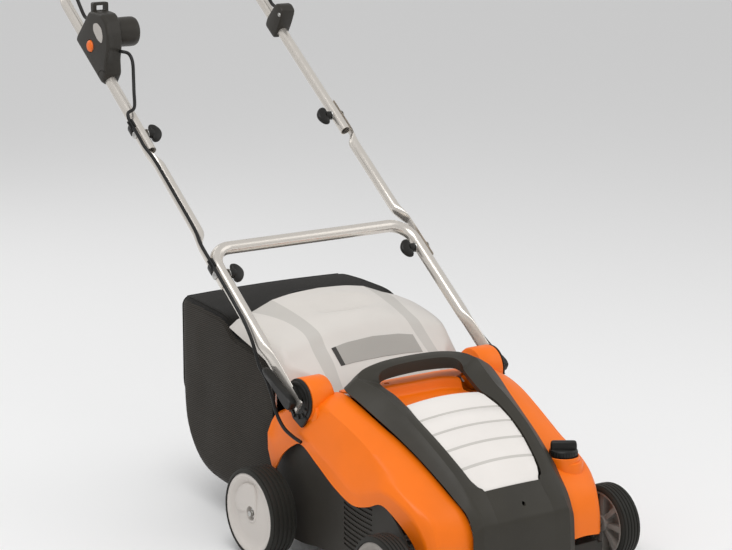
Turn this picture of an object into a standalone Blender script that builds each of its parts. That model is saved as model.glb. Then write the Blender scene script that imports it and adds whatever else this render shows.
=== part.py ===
"""Electric lawn dethatcher, modelled at rest in metres, +Z up, front towards -Y.

The machine frame has y = 0 on the rear axle and z = 0 on the ground. ORIGIN_SHIFT moves it so that
the middle of the bottom of the whole object's box is the origin.
"""
import math

import bmesh
import bpy
import numpy as np
from mathutils import Vector

# ---- driving dimensions, metres ----
ORIGIN_SHIFT = (0.0, -0.18223, 0.0)

REAR_WHEEL_R, REAR_WHEEL_IN, REAR_WHEEL_OUT = 0.0865, 0.2345, 0.2890
FRONT_WHEEL_R, FRONT_WHEEL_IN, FRONT_WHEEL_OUT = 0.0725, 0.2300, 0.2735
WHEEL_BASE = 0.381
WHEEL_SEGMENTS = 20

HANDLE_TILT = math.radians(37.5)
PIVOT_Y, PIVOT_Z = -0.071, 0.309
LEG_X = 0.230
LEG_R, TUBE_R, TUBE_WALL = 0.0125, 0.0110, 0.0015
LOWER_KNOB_S, UPPER_KNOB_S = 0.3115, 0.6865
CROSSBAR_S, CROSSBAR_BEND = 0.374, 0.045
SADDLE_LOW_S, MID_ROUND_LOW_S = 0.282, 0.400
UPPER_END_S, SADDLE_HIGH_S, MID_ROUND_HIGH_S = 0.640, 0.722, 0.615
GRIP_S, GRIP_BEND = 1.120, 0.060

BOSS_R, BOSS_IN, BOSS_OUT = 0.041, 0.168, 0.2185
SHELL_WALL = 0.003

ROTOR_Y, ROTOR_Z, ROTOR_REACH = -0.190, 0.080, 0.064
MOTOR_Y, MOTOR_Z, MOTOR_R = -0.328, 0.160, 0.046
KNOB_LEAN = math.radians(35)
# Depth from the tube, half length and half thickness of a wing knob.
KNOB_SECTIONS = [
    (0.0080, 0.0165, 0.0056), (0.0120, 0.0192, 0.0066), (0.0180, 0.0186, 0.0064),
    (0.0235, 0.0152, 0.0058), (0.0280, 0.0098, 0.0048), (0.0305, 0.0045, 0.0034),
]
LEVER_DROP = math.radians(8)
DIAL_TURN = math.radians(-35)
BELT_X = -0.184
CRANK_Y, CRANK_Z = -0.302, 0.097
BUTTON_Y, BUTTON_Z = 0.6410, 0.8860

DIAL_X, DIAL_Y, DIAL_FLOOR, DIAL_R = 0.1560, -0.3665, 0.2105, 0.0255
FLAP_PIN_Y, FLAP_PIN_Z = -0.0655, 0.3000
BAIL_S, BAIL_LIFT, BAIL_X = 0.957, 0.043, 0.225
SHROUD_Y, SHROUD_Z, SHROUD_R, SHROUD_END = 0.624, 0.912, 0.0275, 0.158
SHELL_R_LOW, SHELL_R_HIGH, SHELL_GAP = 0.0160, 0.0145, 0.0003
CABLE_R, CABLE_X, CABLE_LIFT = 0.0034, -0.2495, 0.0150

# Curves of the top housing, one point (x, y, z) per station from the rear of the skirt to its
# front foot. The inner edge tucks under the hood, the lip is the lower edge of the skirt.
INNER_EDGE = [
    (0.169, 0.038, 0.262), (0.169, 0.018, 0.270), (0.169, -0.010, 0.284), (0.168, -0.045, 0.300),
    (0.162, -0.080, 0.316), (0.160, -0.125, 0.324), (0.152, -0.172, 0.306), (0.143, -0.226, 0.281),
    (0.136, -0.262, 0.265), (0.129, -0.305, 0.243), (0.124, -0.347, 0.219), (0.117, -0.385, 0.193),
    (0.109, -0.420, 0.166), (0.106, -0.440, 0.130), (0.108, -0.444, 0.080),
]
SHOULDER = [
    (0.203, 0.038, 0.254), (0.203, 0.018, 0.262), (0.204, -0.010, 0.276), (0.205, -0.045, 0.290),
    (0.206, -0.085, 0.304), (0.206, -0.130, 0.305), (0.205, -0.180, 0.292), (0.201, -0.229, 0.272),
    (0.199, -0.265, 0.254), (0.197, -0.311, 0.230), (0.196, -0.352, 0.209), (0.194, -0.388, 0.189),
    (0.184, -0.423, 0.162), (0.182, -0.437, 0.124), (0.182, -0.440, 0.079),
]
SKIRT_CREASE = [
    (0.2205, 0.038, 0.222), (0.2210, 0.018, 0.212), (0.2215, -0.010, 0.222), (0.2220, -0.045, 0.238),
    (0.2220, -0.082, 0.246), (0.2220, -0.128, 0.229), (0.2220, -0.182, 0.206), (0.2215, -0.236, 0.182),
    (0.2180, -0.277, 0.186), (0.2145, -0.318, 0.200), (0.2090, -0.362, 0.190), (0.2020, -0.399, 0.166),
    (0.1960, -0.419, 0.135), (0.1940, -0.427, 0.110), (0.1930, -0.430, 0.078),
]
SKIRT_LIP = [
    (0.2200, 0.038, 0.190), (0.2205, 0.018, 0.156), (0.2210, -0.010, 0.190), (0.2215, -0.045, 0.216),
    (0.2215, -0.078, 0.2265), (0.2210, -0.128, 0.201), (0.2205, -0.182, 0.172), (0.2195, -0.236, 0.154),
    (0.2160, -0.277, 0.160), (0.2120, -0.314, 0.173), (0.2060, -0.350, 0.155), (0.1980, -0.380, 0.127),
    (0.1930, -0.394, 0.105), (0.1910, -0.400, 0.092), (0.1900, -0.404, 0.078),
]
COWL_FIRST, COWL_LAST = 4, 7

# Curves of the hood: outer edge, ridge and inner edge, from the grip to the foot of the front.
HOOD_EDGE = [
    (0.164, -0.134, 0.333), (0.159, -0.172, 0.318), (0.151, -0.213, 0.298), (0.143, -0.258, 0.277),
    (0.134, -0.318, 0.246), (0.125, -0.375, 0.211), (0.119, -0.403, 0.190), (0.113, -0.431, 0.168),
    (0.112, -0.446, 0.142), (0.113, -0.451, 0.118), (0.116, -0.453, 0.030),
]
HOOD_RIDGE = [
    (0.134, -0.138, 0.346), (0.120, -0.180, 0.333), (0.116, -0.213, 0.317), (0.114, -0.256, 0.297),
    (0.110, -0.319, 0.263), (0.103, -0.375, 0.226), (0.099, -0.404, 0.202), (0.096, -0.424, 0.184),
    (0.093, -0.448, 0.156), (0.095, -0.457, 0.130), (0.098, -0.461, 0.030),
]
HOOD_INNER = [
    (0.094, -0.150, 0.334), (0.088, -0.182, 0.323), (0.086, -0.213, 0.310), (0.092, -0.256, 0.297),
    (0.089, -0.322, 0.265), (0.081, -0.374, 0.230), (0.074, -0.403, 0.206), (0.062, -0.415, 0.197),
    (0.062, -0.449, 0.158), (0.062, -0.459, 0.132), (0.062, -0.463, 0.030),
]

COLOURS = {
    "orange": ((0.86, 0.20, 0.025), 0.0, 0.38),
    "dark": ((0.045, 0.042, 0.036), 0.0, 0.50),
    "black": ((0.012, 0.012, 0.011), 0.0, 0.45),
    "light_grey": ((0.70, 0.67, 0.63), 0.0, 0.40),
    "white": ((0.84, 0.81, 0.78), 0.0, 0.35),
    "aluminium": ((0.62, 0.58, 0.53), 1.0, 0.28),
    "steel": ((0.55, 0.55, 0.55), 1.0, 0.32),
    "rubber": ((0.022, 0.022, 0.019), 0.0, 0.75),
    "fabric": ((0.040, 0.038, 0.035), 0.0, 0.92),
    "copper": ((0.70, 0.33, 0.16), 1.0, 0.40),
    "warm_grey": ((0.60, 0.56, 0.52), 0.0, 0.45),
    "mid_grey": ((0.15, 0.14, 0.13), 0.0, 0.50),
}


# ---- helpers ----
def clear_scene():
    for obj in list(bpy.data.objects):
        bpy.data.objects.remove(obj, do_unlink=True)


def paint(obj, colour):
    base, metallic, rough = COLOURS[colour]
    mat = bpy.data.materials.new(obj.name + "_material")
    mat.use_nodes = True
    shader = mat.node_tree.nodes["Principled BSDF"]
    shader.inputs["Base Color"].default_value = (*base, 1.0)
    shader.inputs["Metallic"].default_value = metallic
    shader.inputs["Roughness"].default_value = rough
    mat.diffuse_color = (*base, 1.0)
    obj.data.materials.clear()
    obj.data.materials.append(mat)


def build(name, points, faces, colour="dark", smooth=True):
    mesh = bpy.data.meshes.new(name)
    mesh.from_pydata([tuple(map(float, p)) for p in points], [], [list(f) for f in faces])
    bm = bmesh.new()
    bm.from_mesh(mesh)
    bmesh.ops.remove_doubles(bm, verts=bm.verts, dist=1e-6)
    bmesh.ops.triangulate(bm, faces=[f for f in bm.faces if len(f.verts) > 4])
    bmesh.ops.recalc_face_normals(bm, faces=bm.faces)
    bm.to_mesh(mesh)
    bm.free()
    obj = bpy.data.objects.new(name, mesh)
    bpy.context.scene.collection.objects.link(obj)
    paint(obj, colour)
    if smooth:
        mesh.polygons.foreach_set("use_smooth", [True] * len(mesh.polygons))
        mesh.set_sharp_from_angle(angle=math.radians(35))
    return obj


def combine(body, tool, operation):
    """Applies one exact Boolean to the body and removes the tool."""
    step = body.modifiers.new("step", "BOOLEAN")
    step.operation = operation
    step.solver = "EXACT"
    step.object = tool
    graph = bpy.context.evaluated_depsgraph_get()
    mesh = bpy.data.meshes.new_from_object(body.evaluated_get(graph))
    body.modifiers.clear()
    body.data = mesh
    bpy.data.objects.remove(tool, do_unlink=True)
    colour = body["colour"] if "colour" in body else None
    if colour:
        paint(body, colour)
    return body


def cut(body, *tools):
    for tool in tools:
        combine(body, tool, "DIFFERENCE")
    return body


def join(body, *tools):
    for tool in tools:
        combine(body, tool, "UNION")
    return body


def loft(name, rings, colour="dark", closed_path=False, smooth=True):
    """A solid through closed rings of equal length, capped at both ends unless the path closes."""
    count = len(rings[0])
    points = [p for ring in rings for p in ring]
    faces = []
    last = len(rings) if closed_path else len(rings) - 1
    for i in range(last):
        for j in range(count):
            a, b = i * count + j, i * count + (j + 1) % count
            c = ((i + 1) % len(rings)) * count + (j + 1) % count
            d = ((i + 1) % len(rings)) * count + j
            faces.append((a, b, c, d))
    if not closed_path:
        faces.append(tuple(range(count)))
        faces.append(tuple(range(len(points) - count, len(points))))
    return build(name, points, faces, colour, smooth)


def shell(name, points, faces, wall, colour="dark"):
    """A thick body under an open surface: each point goes down its normal by the wall."""
    pts = np.array(points, float)
    normals = np.zeros_like(pts)
    for face in faces:
        ring = pts[list(face)]
        area = np.zeros(3)
        for k in range(len(face)):
            area += np.cross(ring[k], ring[(k + 1) % len(face)])
        for v in face:
            normals[v] += area
    length = np.linalg.norm(normals, axis=1)
    used = length > 0
    normals[used] /= length[used][:, None]
    under = pts - normals * wall
    count = len(pts)
    solid = [tuple(f) for f in faces] + [tuple(count + v for v in reversed(f)) for f in faces]
    edges = {}
    for face in faces:
        for k in range(len(face)):
            a, b = face[k], face[(k + 1) % len(face)]
            edges[(a, b)] = True
    for a, b in edges:
        if (b, a) not in edges:
            solid.append((b, a, count + a, count + b))
    return build(name, list(pts) + list(under), solid, colour)


def frames_along(path):
    """Tangent, side and up vectors along a path, carried without twist."""
    pts = [Vector(p) for p in path]
    tangents = []
    for i in range(len(pts)):
        a, b = pts[max(i - 1, 0)], pts[min(i + 1, len(pts) - 1)]
        tangents.append((b - a).normalized())
    first = Vector((1, 0, 0)) if abs(tangents[0].x) < 0.8 else Vector((0, 0, 1))
    side = (first - tangents[0] * first.dot(tangents[0])).normalized()
    out = []
    for t in tangents:
        side = (side - t * side.dot(t)).normalized()
        out.append((t, side, t.cross(side)))
    return pts, out


def rod(name, path, radius, sides=10, colour="steel", flat=1.0):
    pts, frames = frames_along(path)
    rings = []
    for p, (_, side, up) in zip(pts, frames):
        ring = []
        for k in range(sides):
            a = 2 * math.pi * k / sides
            ring.append(tuple(p + side * radius * math.cos(a) + up * radius * flat * math.sin(a)))
        rings.append(ring)
    return loft(name, rings, colour)


def tube(name, path, radius, wall, sides=16, colour="aluminium"):
    """A hollow tube, open at both ends."""
    pts, frames = frames_along(path)
    rings = []
    for radius_here, order in ((radius, 1), (radius - wall, -1)):
        layer = []
        for p, (_, side, up) in zip(pts, frames):
            ring = []
            for k in range(sides):
                a = 2 * math.pi * k / sides
                ring.append(tuple(p + side * radius_here * math.cos(a) + up * radius_here * math.sin(a)))
            layer.append(ring)
        rings += layer if order > 0 else layer[::-1]
    return loft(name, rings, colour, closed_path=True)


def lathe(name, profile, centre, axis="X", segments=32, colour="dark"):
    """Turns a profile of (radius, position) pairs round an axis through the centre."""
    rings = []
    for radius, place in profile:
        ring = []
        for k in range(segments):
            a = 2 * math.pi * k / segments
            u, v = radius * math.cos(a), radius * math.sin(a)
            local = {"X": (place, u, v), "Y": (u, place, v), "Z": (u, v, place)}[axis]
            ring.append(tuple(centre[i] + local[i] for i in range(3)))
        rings.append(ring)
    return loft(name, rings, colour)


def turned(name, profile, centre, axis="X", segments=32, colour="dark"):
    """A solid of revolution whose profile is a closed loop that stays off the axis."""
    rings = []
    for radius, place in profile:
        ring = []
        for k in range(segments):
            a = 2 * math.pi * k / segments
            u, v = radius * math.cos(a), radius * math.sin(a)
            local = {"X": (place, u, v), "Y": (u, place, v), "Z": (u, v, place)}[axis]
            ring.append(tuple(centre[i] + local[i] for i in range(3)))
        rings.append(ring)
    return loft(name, rings, colour, closed_path=True)


def cylinder(name, centre, radius, a, b, axis="X", segments=24, colour="dark"):
    return lathe(name, [(radius, a), (radius, b)], centre, axis, segments, colour)


def pipe(name, centre, outer, inner, a, b, axis="X", segments=24, colour="dark"):
    loop = [(outer, a), (outer, b), (inner, b), (inner, a)]
    return turned(name, loop, centre, axis, segments, colour)


def box(name, low, high, colour="dark"):
    (x0, y0, z0), (x1, y1, z1) = low, high
    rings = [[(x, y0, z0), (x, y1, z0), (x, y1, z1), (x, y0, z1)] for x in (x0, x1)]
    return loft(name, rings, colour, smooth=False)


def prism(name, outline, x0, x1, colour="dark"):
    """Extrudes an outline of (y, z) points along X."""
    return loft(name, [[(x, y, z) for y, z in outline] for x in (x0, x1)], colour)


def on_handle(s, x=0.0, lift=0.0):
    """A point s metres up the handle from its pivot, lifted at right angles to the handle."""
    return (
        x,
        PIVOT_Y + s * math.cos(HANDLE_TILT) - lift * math.sin(HANDLE_TILT),
        PIVOT_Z + s * math.sin(HANDLE_TILT) + lift * math.cos(HANDLE_TILT),
    )


def arc(centre, start, end, count):
    """Points on the quarter turn from start to end, both measured from the centre."""
    c, a, b = Vector(centre), Vector(start), Vector(end)
    return [
        tuple(c + a * math.cos(t) + b * math.sin(t))
        for t in [math.pi / 2 * k / count for k in range(count + 1)]
    ]


def handle_bend(s, radius, side, count=5):
    """The bend from a handle leg into its crossbar, as points from the leg inwards."""
    centre = Vector(on_handle(s - radius, side * (LEG_X - radius)))
    out = Vector((side * radius, 0, 0))
    along = Vector((0, math.cos(HANDLE_TILT), math.sin(HANDLE_TILT))) * radius
    return arc(centre, out, along, count)


def strips(columns):
    """Points and quads of a half surface given as columns of equal length."""
    rows = len(columns[0])
    points = [p for column in columns for p in column]
    return points, [
        (c * rows + r, c * rows + r + 1, (c + 1) * rows + r + 1, (c + 1) * rows + r)
        for c in range(len(columns) - 1)
        for r in range(rows - 1)
    ]


def mirrored(points, faces):
    """Adds the mirror image in x, sharing the points of the middle plane."""
    points = [tuple(p) for p in points]
    index = {}
    out = list(points)
    for i, (x, y, z) in enumerate(points):
        if abs(x) < 1e-7:
            index[i] = i
        else:
            index[i] = len(out)
            out.append((-x, y, z))
    return out, list(faces) + [tuple(index[v] for v in reversed(f)) for f in faces]


def between(a, b, t, bulge=0.0):
    return tuple(a[i] + (b[i] - a[i]) * t + (bulge if i == 2 else 0.0) for i in range(3))


# ---- body of the machine ----
def make_top_housing():
    """Orange upper housing: flanks on both sides, joined by the cowl behind the motor cover."""
    columns = [INNER_EDGE]
    columns.append([between(a, b, 0.5, 0.002) for a, b in zip(INNER_EDGE, SHOULDER)])
    columns.append(SHOULDER)
    columns.append([between(a, b, 0.5, 0.004) for a, b in zip(SHOULDER, SKIRT_CREASE)])
    columns.append(SKIRT_CREASE)
    columns.append(SKIRT_LIP)
    points, faces = strips(columns)
    # The cowl runs from the middle plane out to the inner edge at four stations.
    cowl = {
        4: (-0.080, 0.322, -0.080, 0.321), 5: (-0.121, 0.322, -0.122, 0.323),
        6: (-0.129, 0.301, -0.140, 0.306), 7: (-0.218, 0.2965, -0.218, 0.2900),
    }
    base = len(points)
    for row in range(COWL_FIRST, COWL_LAST + 1):
        y0, z0, y1, z1 = cowl[row]
        points += [(0.0, y0, z0), (0.070, y0, z0), (0.100, y1, z1)]
    for k in range(COWL_LAST - COWL_FIRST):
        a, b = base + 3 * k, base + 3 * (k + 1)
        edge_a, edge_b = COWL_FIRST + k, COWL_FIRST + k + 1
        faces += [(a, b, b + 1, a + 1), (a + 1, b + 1, b + 2, a + 2), (a + 2, b + 2, edge_b, edge_a)]
    points, faces = mirrored(points, faces)
    housing = shell("top_housing", points, faces, SHELL_WALL, "orange")
    housing["colour"] = "orange"
    for side in (-1, 1):
        boss = cylinder("boss", (0, PIVOT_Y, PIVOT_Z), BOSS_R, side * BOSS_IN, side * BOSS_OUT,
            segments=28)
        join(housing, boss)
    collar = cylinder("collar", (DIAL_X, DIAL_Y, 0), DIAL_R + 0.0028, 0.180, DIAL_FLOOR + 0.002, "Z", 24)
    join(housing, collar)
    join(housing, cylinder("skirt", (DIAL_X + 0.005, DIAL_Y - 0.002, 0), 0.0310, 0.170,
        DIAL_FLOOR - 0.007, "Z", 24))
    pocket = cylinder("pocket", (DIAL_X, DIAL_Y, 0), DIAL_R + 0.0008, DIAL_FLOOR, 0.27, "Z", 24)
    stem_hole = cylinder("stem_hole", (DIAL_X, DIAL_Y, 0), 0.0055, 0.16, 0.24, "Z", 16)
    cut(housing, pocket, stem_hole)
    for side in (-1, 1):
        hole = cylinder("hole", (0, PIVOT_Y, PIVOT_Z), 0.0044, side * 0.178, side * 0.24, segments=16)
        cut(housing, hole)
    pin_hole = cylinder("pin_hole", (0, FLAP_PIN_Y, FLAP_PIN_Z), 0.0034, -0.1735, 0.1735, segments=14)
    cut(housing, pin_hole)
    return housing


def make_hood():
    """Dark hood with the carry grip at its rear and the front fascia below."""
    middle = [(0.0, y - 0.001, z + 0.001) for _, y, z in HOOD_INNER]
    points, faces = strips([HOOD_INNER, HOOD_RIDGE, HOOD_EDGE])
    start = len(points)
    first = 7
    points += middle[first:]
    for row in range(first, len(HOOD_INNER) - 1):
        m = start + row - first
        faces.append((m, m + 1, row + 1, row))
    points, faces = mirrored(points, faces)
    hood = shell("hood", points, faces, 0.0032, "dark")
    hood["colour"] = "dark"
    half = [
        (0.138, -0.185, 0.3150), (0.1425, -0.158, 0.3270), (0.138, -0.137, 0.3355),
        (0.124, -0.122, 0.3440), (0.100, -0.118, 0.3503), (0.060, -0.117, 0.3548), (0.0, -0.117, 0.3566),
    ]
    path = half + [(-x, y, z) for x, y, z in half[-2::-1]]
    join(hood, rod("grip", path, 0.0163, 12, "dark", flat=0.82))
    cut(hood, cylinder("vent", (0.004, 0, 0.168), 0.0042, -0.47, -0.40, "Y", 12))
    return hood


def make_motor_cover():
    """Pale cover in the hood's opening, with four cross grooves."""
    rows = [
        (-0.2095, 0.0815, 0.3085), (-0.222, 0.0845, 0.3065), (-0.258, 0.0895, 0.2935),
        (-0.2605, 0.0895, 0.2905), (-0.263, 0.0895, 0.2915), (-0.296, 0.0890, 0.2765),
        (-0.2985, 0.0890, 0.2735), (-0.301, 0.0885, 0.2740), (-0.333, 0.0855, 0.2555),
        (-0.3355, 0.0852, 0.2525), (-0.338, 0.0850, 0.2525), (-0.369, 0.0800, 0.2305),
        (-0.3715, 0.0795, 0.2275), (-0.374, 0.0790, 0.2270), (-0.400, 0.0710, 0.2060),
        (-0.4095, 0.0590, 0.1985),
    ]
    columns = []
    for t in (0.0, 0.34, 0.67, 1.0):
        columns.append([(w * t, y, z - 0.0005 + 0.006 * (1 - t * t)) for y, w, z in rows])
    points, faces = strips(columns)
    points, faces = mirrored(points, faces)
    return shell("motor_cover", points, faces, 0.0025, "white")


def make_deck():
    """Dark lower deck: side plates, front and rear beams, rotor tunnel and motor mounts."""
    side_outline = [
        (0.030, 0.050), (0.030, 0.200), (-0.045, 0.240), (-0.080, 0.248), (-0.180, 0.205),
        (-0.236, 0.180), (-0.300, 0.190), (-0.318, 0.186), (-0.335, 0.160), (-0.350, 0.148),
        (-0.376, 0.122), (-0.392, 0.096), (-0.396, 0.070), (-0.396, 0.036), (-0.340, 0.030),
        (-0.300, 0.030), (-0.275, 0.036), (-0.105, 0.036), (-0.060, 0.030), (0.010, 0.030),
    ]
    deck = prism("deck", side_outline, -0.2050, -0.2005, "dark")
    deck["colour"] = "dark"
    tunnel_outer, tunnel_inner = [], []
    for k in range(11):
        a = math.radians(44 + 144 * k / 10)
        tunnel_outer.append((ROTOR_Y + 0.078 * math.cos(a), ROTOR_Z + 0.078 * math.sin(a)))
        tunnel_inner.append((ROTOR_Y + 0.074 * math.cos(a), ROTOR_Z + 0.074 * math.sin(a)))
    join(deck, prism("tunnel", tunnel_outer + tunnel_inner[::-1], -0.203, 0.203))
    join(deck, prism("other", side_outline, 0.2005, 0.2050))
    for x0 in (-0.075, 0.062):
        join(deck, prism("mount", motor_mount_outline(), x0, x0 + 0.006))
    rear_beam = [(0.020, 0.050), (0.020, 0.056), (-0.115, 0.066), (-0.115, 0.060)]
    join(deck, prism("rear_beam", rear_beam, -0.203, 0.203))
    rear_wall = [(-0.141, 0.136), (-0.135, 0.132), (-0.062, 0.232), (-0.068, 0.236)]
    join(deck, prism("rear_wall", rear_wall, -0.203, 0.203))
    front = [(-0.426, 0.034), (-0.426, 0.062), (-0.404, 0.062), (-0.404, 0.040), (-0.392, 0.040),
        (-0.392, 0.034)]
    join(deck, prism("front_beam", front, -0.186, 0.186))
    for x0 in (-0.2035, 0.1835):
        join(deck, box("foot", (x0, -0.4235, 0.036), (x0 + 0.020, -0.388, 0.056)))
    for side in (-1, 1):
        low, high = sorted((side * 0.190, side * 0.215))
        cut(deck, cylinder("bore", (0, 0.0, REAR_WHEEL_R), 0.0056, low, high, segments=20))
        cut(deck, cylinder("pocket", (0, ROTOR_Y, ROTOR_Z), 0.0124, side * 0.190, side * 0.2022,
            segments=20))
        cut(deck, cylinder("bore", (0, CRANK_Y, CRANK_Z), 0.0054, low, high, segments=16))
        slot = [(-0.3900, 0.056), (-0.3715, 0.056), (-0.3715, 0.090), (-0.3900, 0.090)]
        cut(deck, prism("slot", slot, low, high))
        for k in range(6):
            z = 0.062 + 0.0160 * k
            low, high = sorted((side * 0.196, side * 0.210))
            cut(deck, box("louvre", (low, -0.286, z), (high, -0.210, z + 0.0030)))
    cut(deck, box("belt_gap", (-0.192, -0.35, 0.070), (-0.176, -0.112, 0.175)))
    return deck


def motor_mount_outline():
    """Saddle plate that holds the motor from below and ties it to the rotor tunnel."""
    inner, outer = [], []
    for k in range(11):
        a = math.radians(-20 - 170 * k / 10)
        inner.append((MOTOR_Y + (MOTOR_R + 0.0012) * math.cos(a),
            MOTOR_Z + (MOTOR_R + 0.0012) * math.sin(a)))
    for k in range(8):
        a = math.radians(-190 + 115 * k / 7)
        outer.append((MOTOR_Y + (MOTOR_R + 0.0075) * math.cos(a),
            MOTOR_Z + (MOTOR_R + 0.0075) * math.sin(a)))
    return inner + outer + [(-0.2600, 0.1095), (-0.2450, 0.1318), (-0.2280, 0.1456)]


def make_flap():
    """Pale rear flap, domed, with a raised middle between two sloping bands."""
    stations = [
        # y and z of the middle, then (x, z drop) of the band edges, shoulder and side
        (-0.064, 0.3020, 0.112, 0.002, 0.136, 0.004, 0.152, 0.006, 0.158, 0.016),
        (-0.052, 0.3150, 0.112, 0.004, 0.136, 0.007, 0.152, 0.013, 0.160, 0.030),
        (-0.036, 0.3320, 0.110, 0.005, 0.134, 0.009, 0.154, 0.016, 0.163, 0.044),
        (-0.010, 0.3560, 0.105, 0.006, 0.132, 0.012, 0.157, 0.020, 0.1665, 0.052),
        (0.018, 0.3850, 0.103, 0.013, 0.131, 0.018, 0.184, 0.036, 0.202, 0.072),
        (0.040, 0.4060, 0.100, 0.014, 0.129, 0.019, 0.188, 0.036, 0.205, 0.072),
        (0.066, 0.4190, 0.100, 0.016, 0.128, 0.021, 0.190, 0.038, 0.207, 0.068),
        (0.106, 0.4310, 0.102, 0.017, 0.134, 0.023, 0.190, 0.040, 0.209, 0.064),
        (0.150, 0.4370, 0.105, 0.014, 0.145, 0.024, 0.190, 0.039, 0.2105, 0.056),
        (0.197, 0.4400, 0.107, 0.010, 0.154, 0.028, 0.186, 0.038, 0.2060, 0.049),
    ]
    columns = [[], [], [], [], [], []]
    for y, z, xi, di, xo, do, xs, ds, xe, de in stations:
        columns[0].append((0.0, y, z))
        columns[1].append((0.060, y, z - 0.3 * di))
        columns[2].append((xi, y, z - di))
        columns[3].append((xo, y, z - do))
        columns[4].append((xs, y, z - ds))
        columns[5].append((xe, y - 0.004, z - de))
    points, faces = strips(columns)
    faces = [tuple(reversed(f)) for f in faces]
    points, faces = mirrored(points, faces)
    flap = shell("rear_flap", points, faces, 0.0025, "light_grey")
    flap["colour"] = "light_grey"
    barrel = cylinder("barrel", (0, FLAP_PIN_Y, FLAP_PIN_Z), 0.0062, -0.1445, 0.1445, segments=20)
    join(flap, barrel)
    cut(flap, cylinder("bore", (0, FLAP_PIN_Y, FLAP_PIN_Z), 0.0034, -0.16, 0.16, segments=14))
    return flap


def make_bag():
    """Catcher bag of woven fabric, open towards the chute, with its mouth frame and loop."""
    def ring(y, half, low, top, round_top, round_low):
        corner = []
        for cx, cz, r, start in (
            (half - round_top, top - round_top, round_top, 90),
            (half - round_low, low + round_low, round_low, 0),
        ):
            for k in range(5):
                a = math.radians(start - 90 * k / 4)
                corner.append((cx + r * math.cos(a), y, cz + r * math.sin(a)))
        return [(0.0, y, top + 0.003)] + corner + [(0.0, y, low)]

    rings = [
        ring(0.046, 0.2000, 0.062, 0.335, 0.030, 0.025),
        ring(0.110, 0.2020, 0.058, 0.366, 0.030, 0.030),
        ring(0.185, 0.2030, 0.056, 0.379, 0.030, 0.035),
        ring(0.225, 0.2030, 0.056, 0.404, 0.026, 0.040),
        ring(0.300, 0.2010, 0.062, 0.411, 0.024, 0.045),
        ring(0.345, 0.1980, 0.082, 0.413, 0.022, 0.050),
        ring(0.376, 0.1950, 0.122, 0.413, 0.022, 0.055),
        ring(0.392, 0.1900, 0.185, 0.411, 0.024, 0.060),
        ring(0.400, 0.1780, 0.240, 0.400, 0.030, 0.050),
    ]
    points = [p for r in rings for p in r]
    count = len(rings[0])
    faces = []
    for i in range(len(rings) - 1):
        for j in range(count - 1):
            a = i * count + j
            faces.append((a, a + 1, a + count + 1, a + count))
    last = (len(rings) - 1) * count
    middle = len(points)
    points.append((0.0, 0.403, 0.32))
    for j in range(count - 1):
        faces.append((last + j, last + j + 1, middle))
    points, faces = mirrored(points, faces)
    bag = shell("bag", points, faces, 0.0018, "fabric")
    frame_path = []
    corners = ((0.172, 0.307, 90), (0.172, 0.090, 0), (-0.172, 0.090, 270), (-0.172, 0.307, 180))
    for x, z, start in corners:
        for k in range(4):
            a = math.radians(start - 90 * k / 3)
            frame_path.append((x + 0.0205 * math.cos(a), 0.053, z + 0.0205 * math.sin(a)))
    rings = []
    for i, (x, y, z) in enumerate(frame_path):
        before, after = frame_path[i - 1], frame_path[(i + 1) % len(frame_path)]
        t = Vector((after[0] - before[0], 0, after[2] - before[2])).normalized()
        out = Vector((t.z, 0, -t.x))
        rings.append([
            tuple(Vector((x, y, z)) + (out * math.cos(a) + Vector((0, math.sin(a), 0))) * 0.0035)
            for a in [2 * math.pi * k / 8 for k in range(8)]
        ])
    frame = loft("bag_frame", rings, "steel", closed_path=True)
    loop = rod(
        "bag_loop",
        [(-0.055, 0.232, 0.4125), (-0.052, 0.232, 0.421), (-0.038, 0.231, 0.429), (-0.020, 0.230, 0.431),
         (-0.002, 0.231, 0.429), (0.012, 0.232, 0.421), (0.015, 0.232, 0.4125)],
        0.0026, 8, "black",
    )
    return bag, frame, loop


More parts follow.
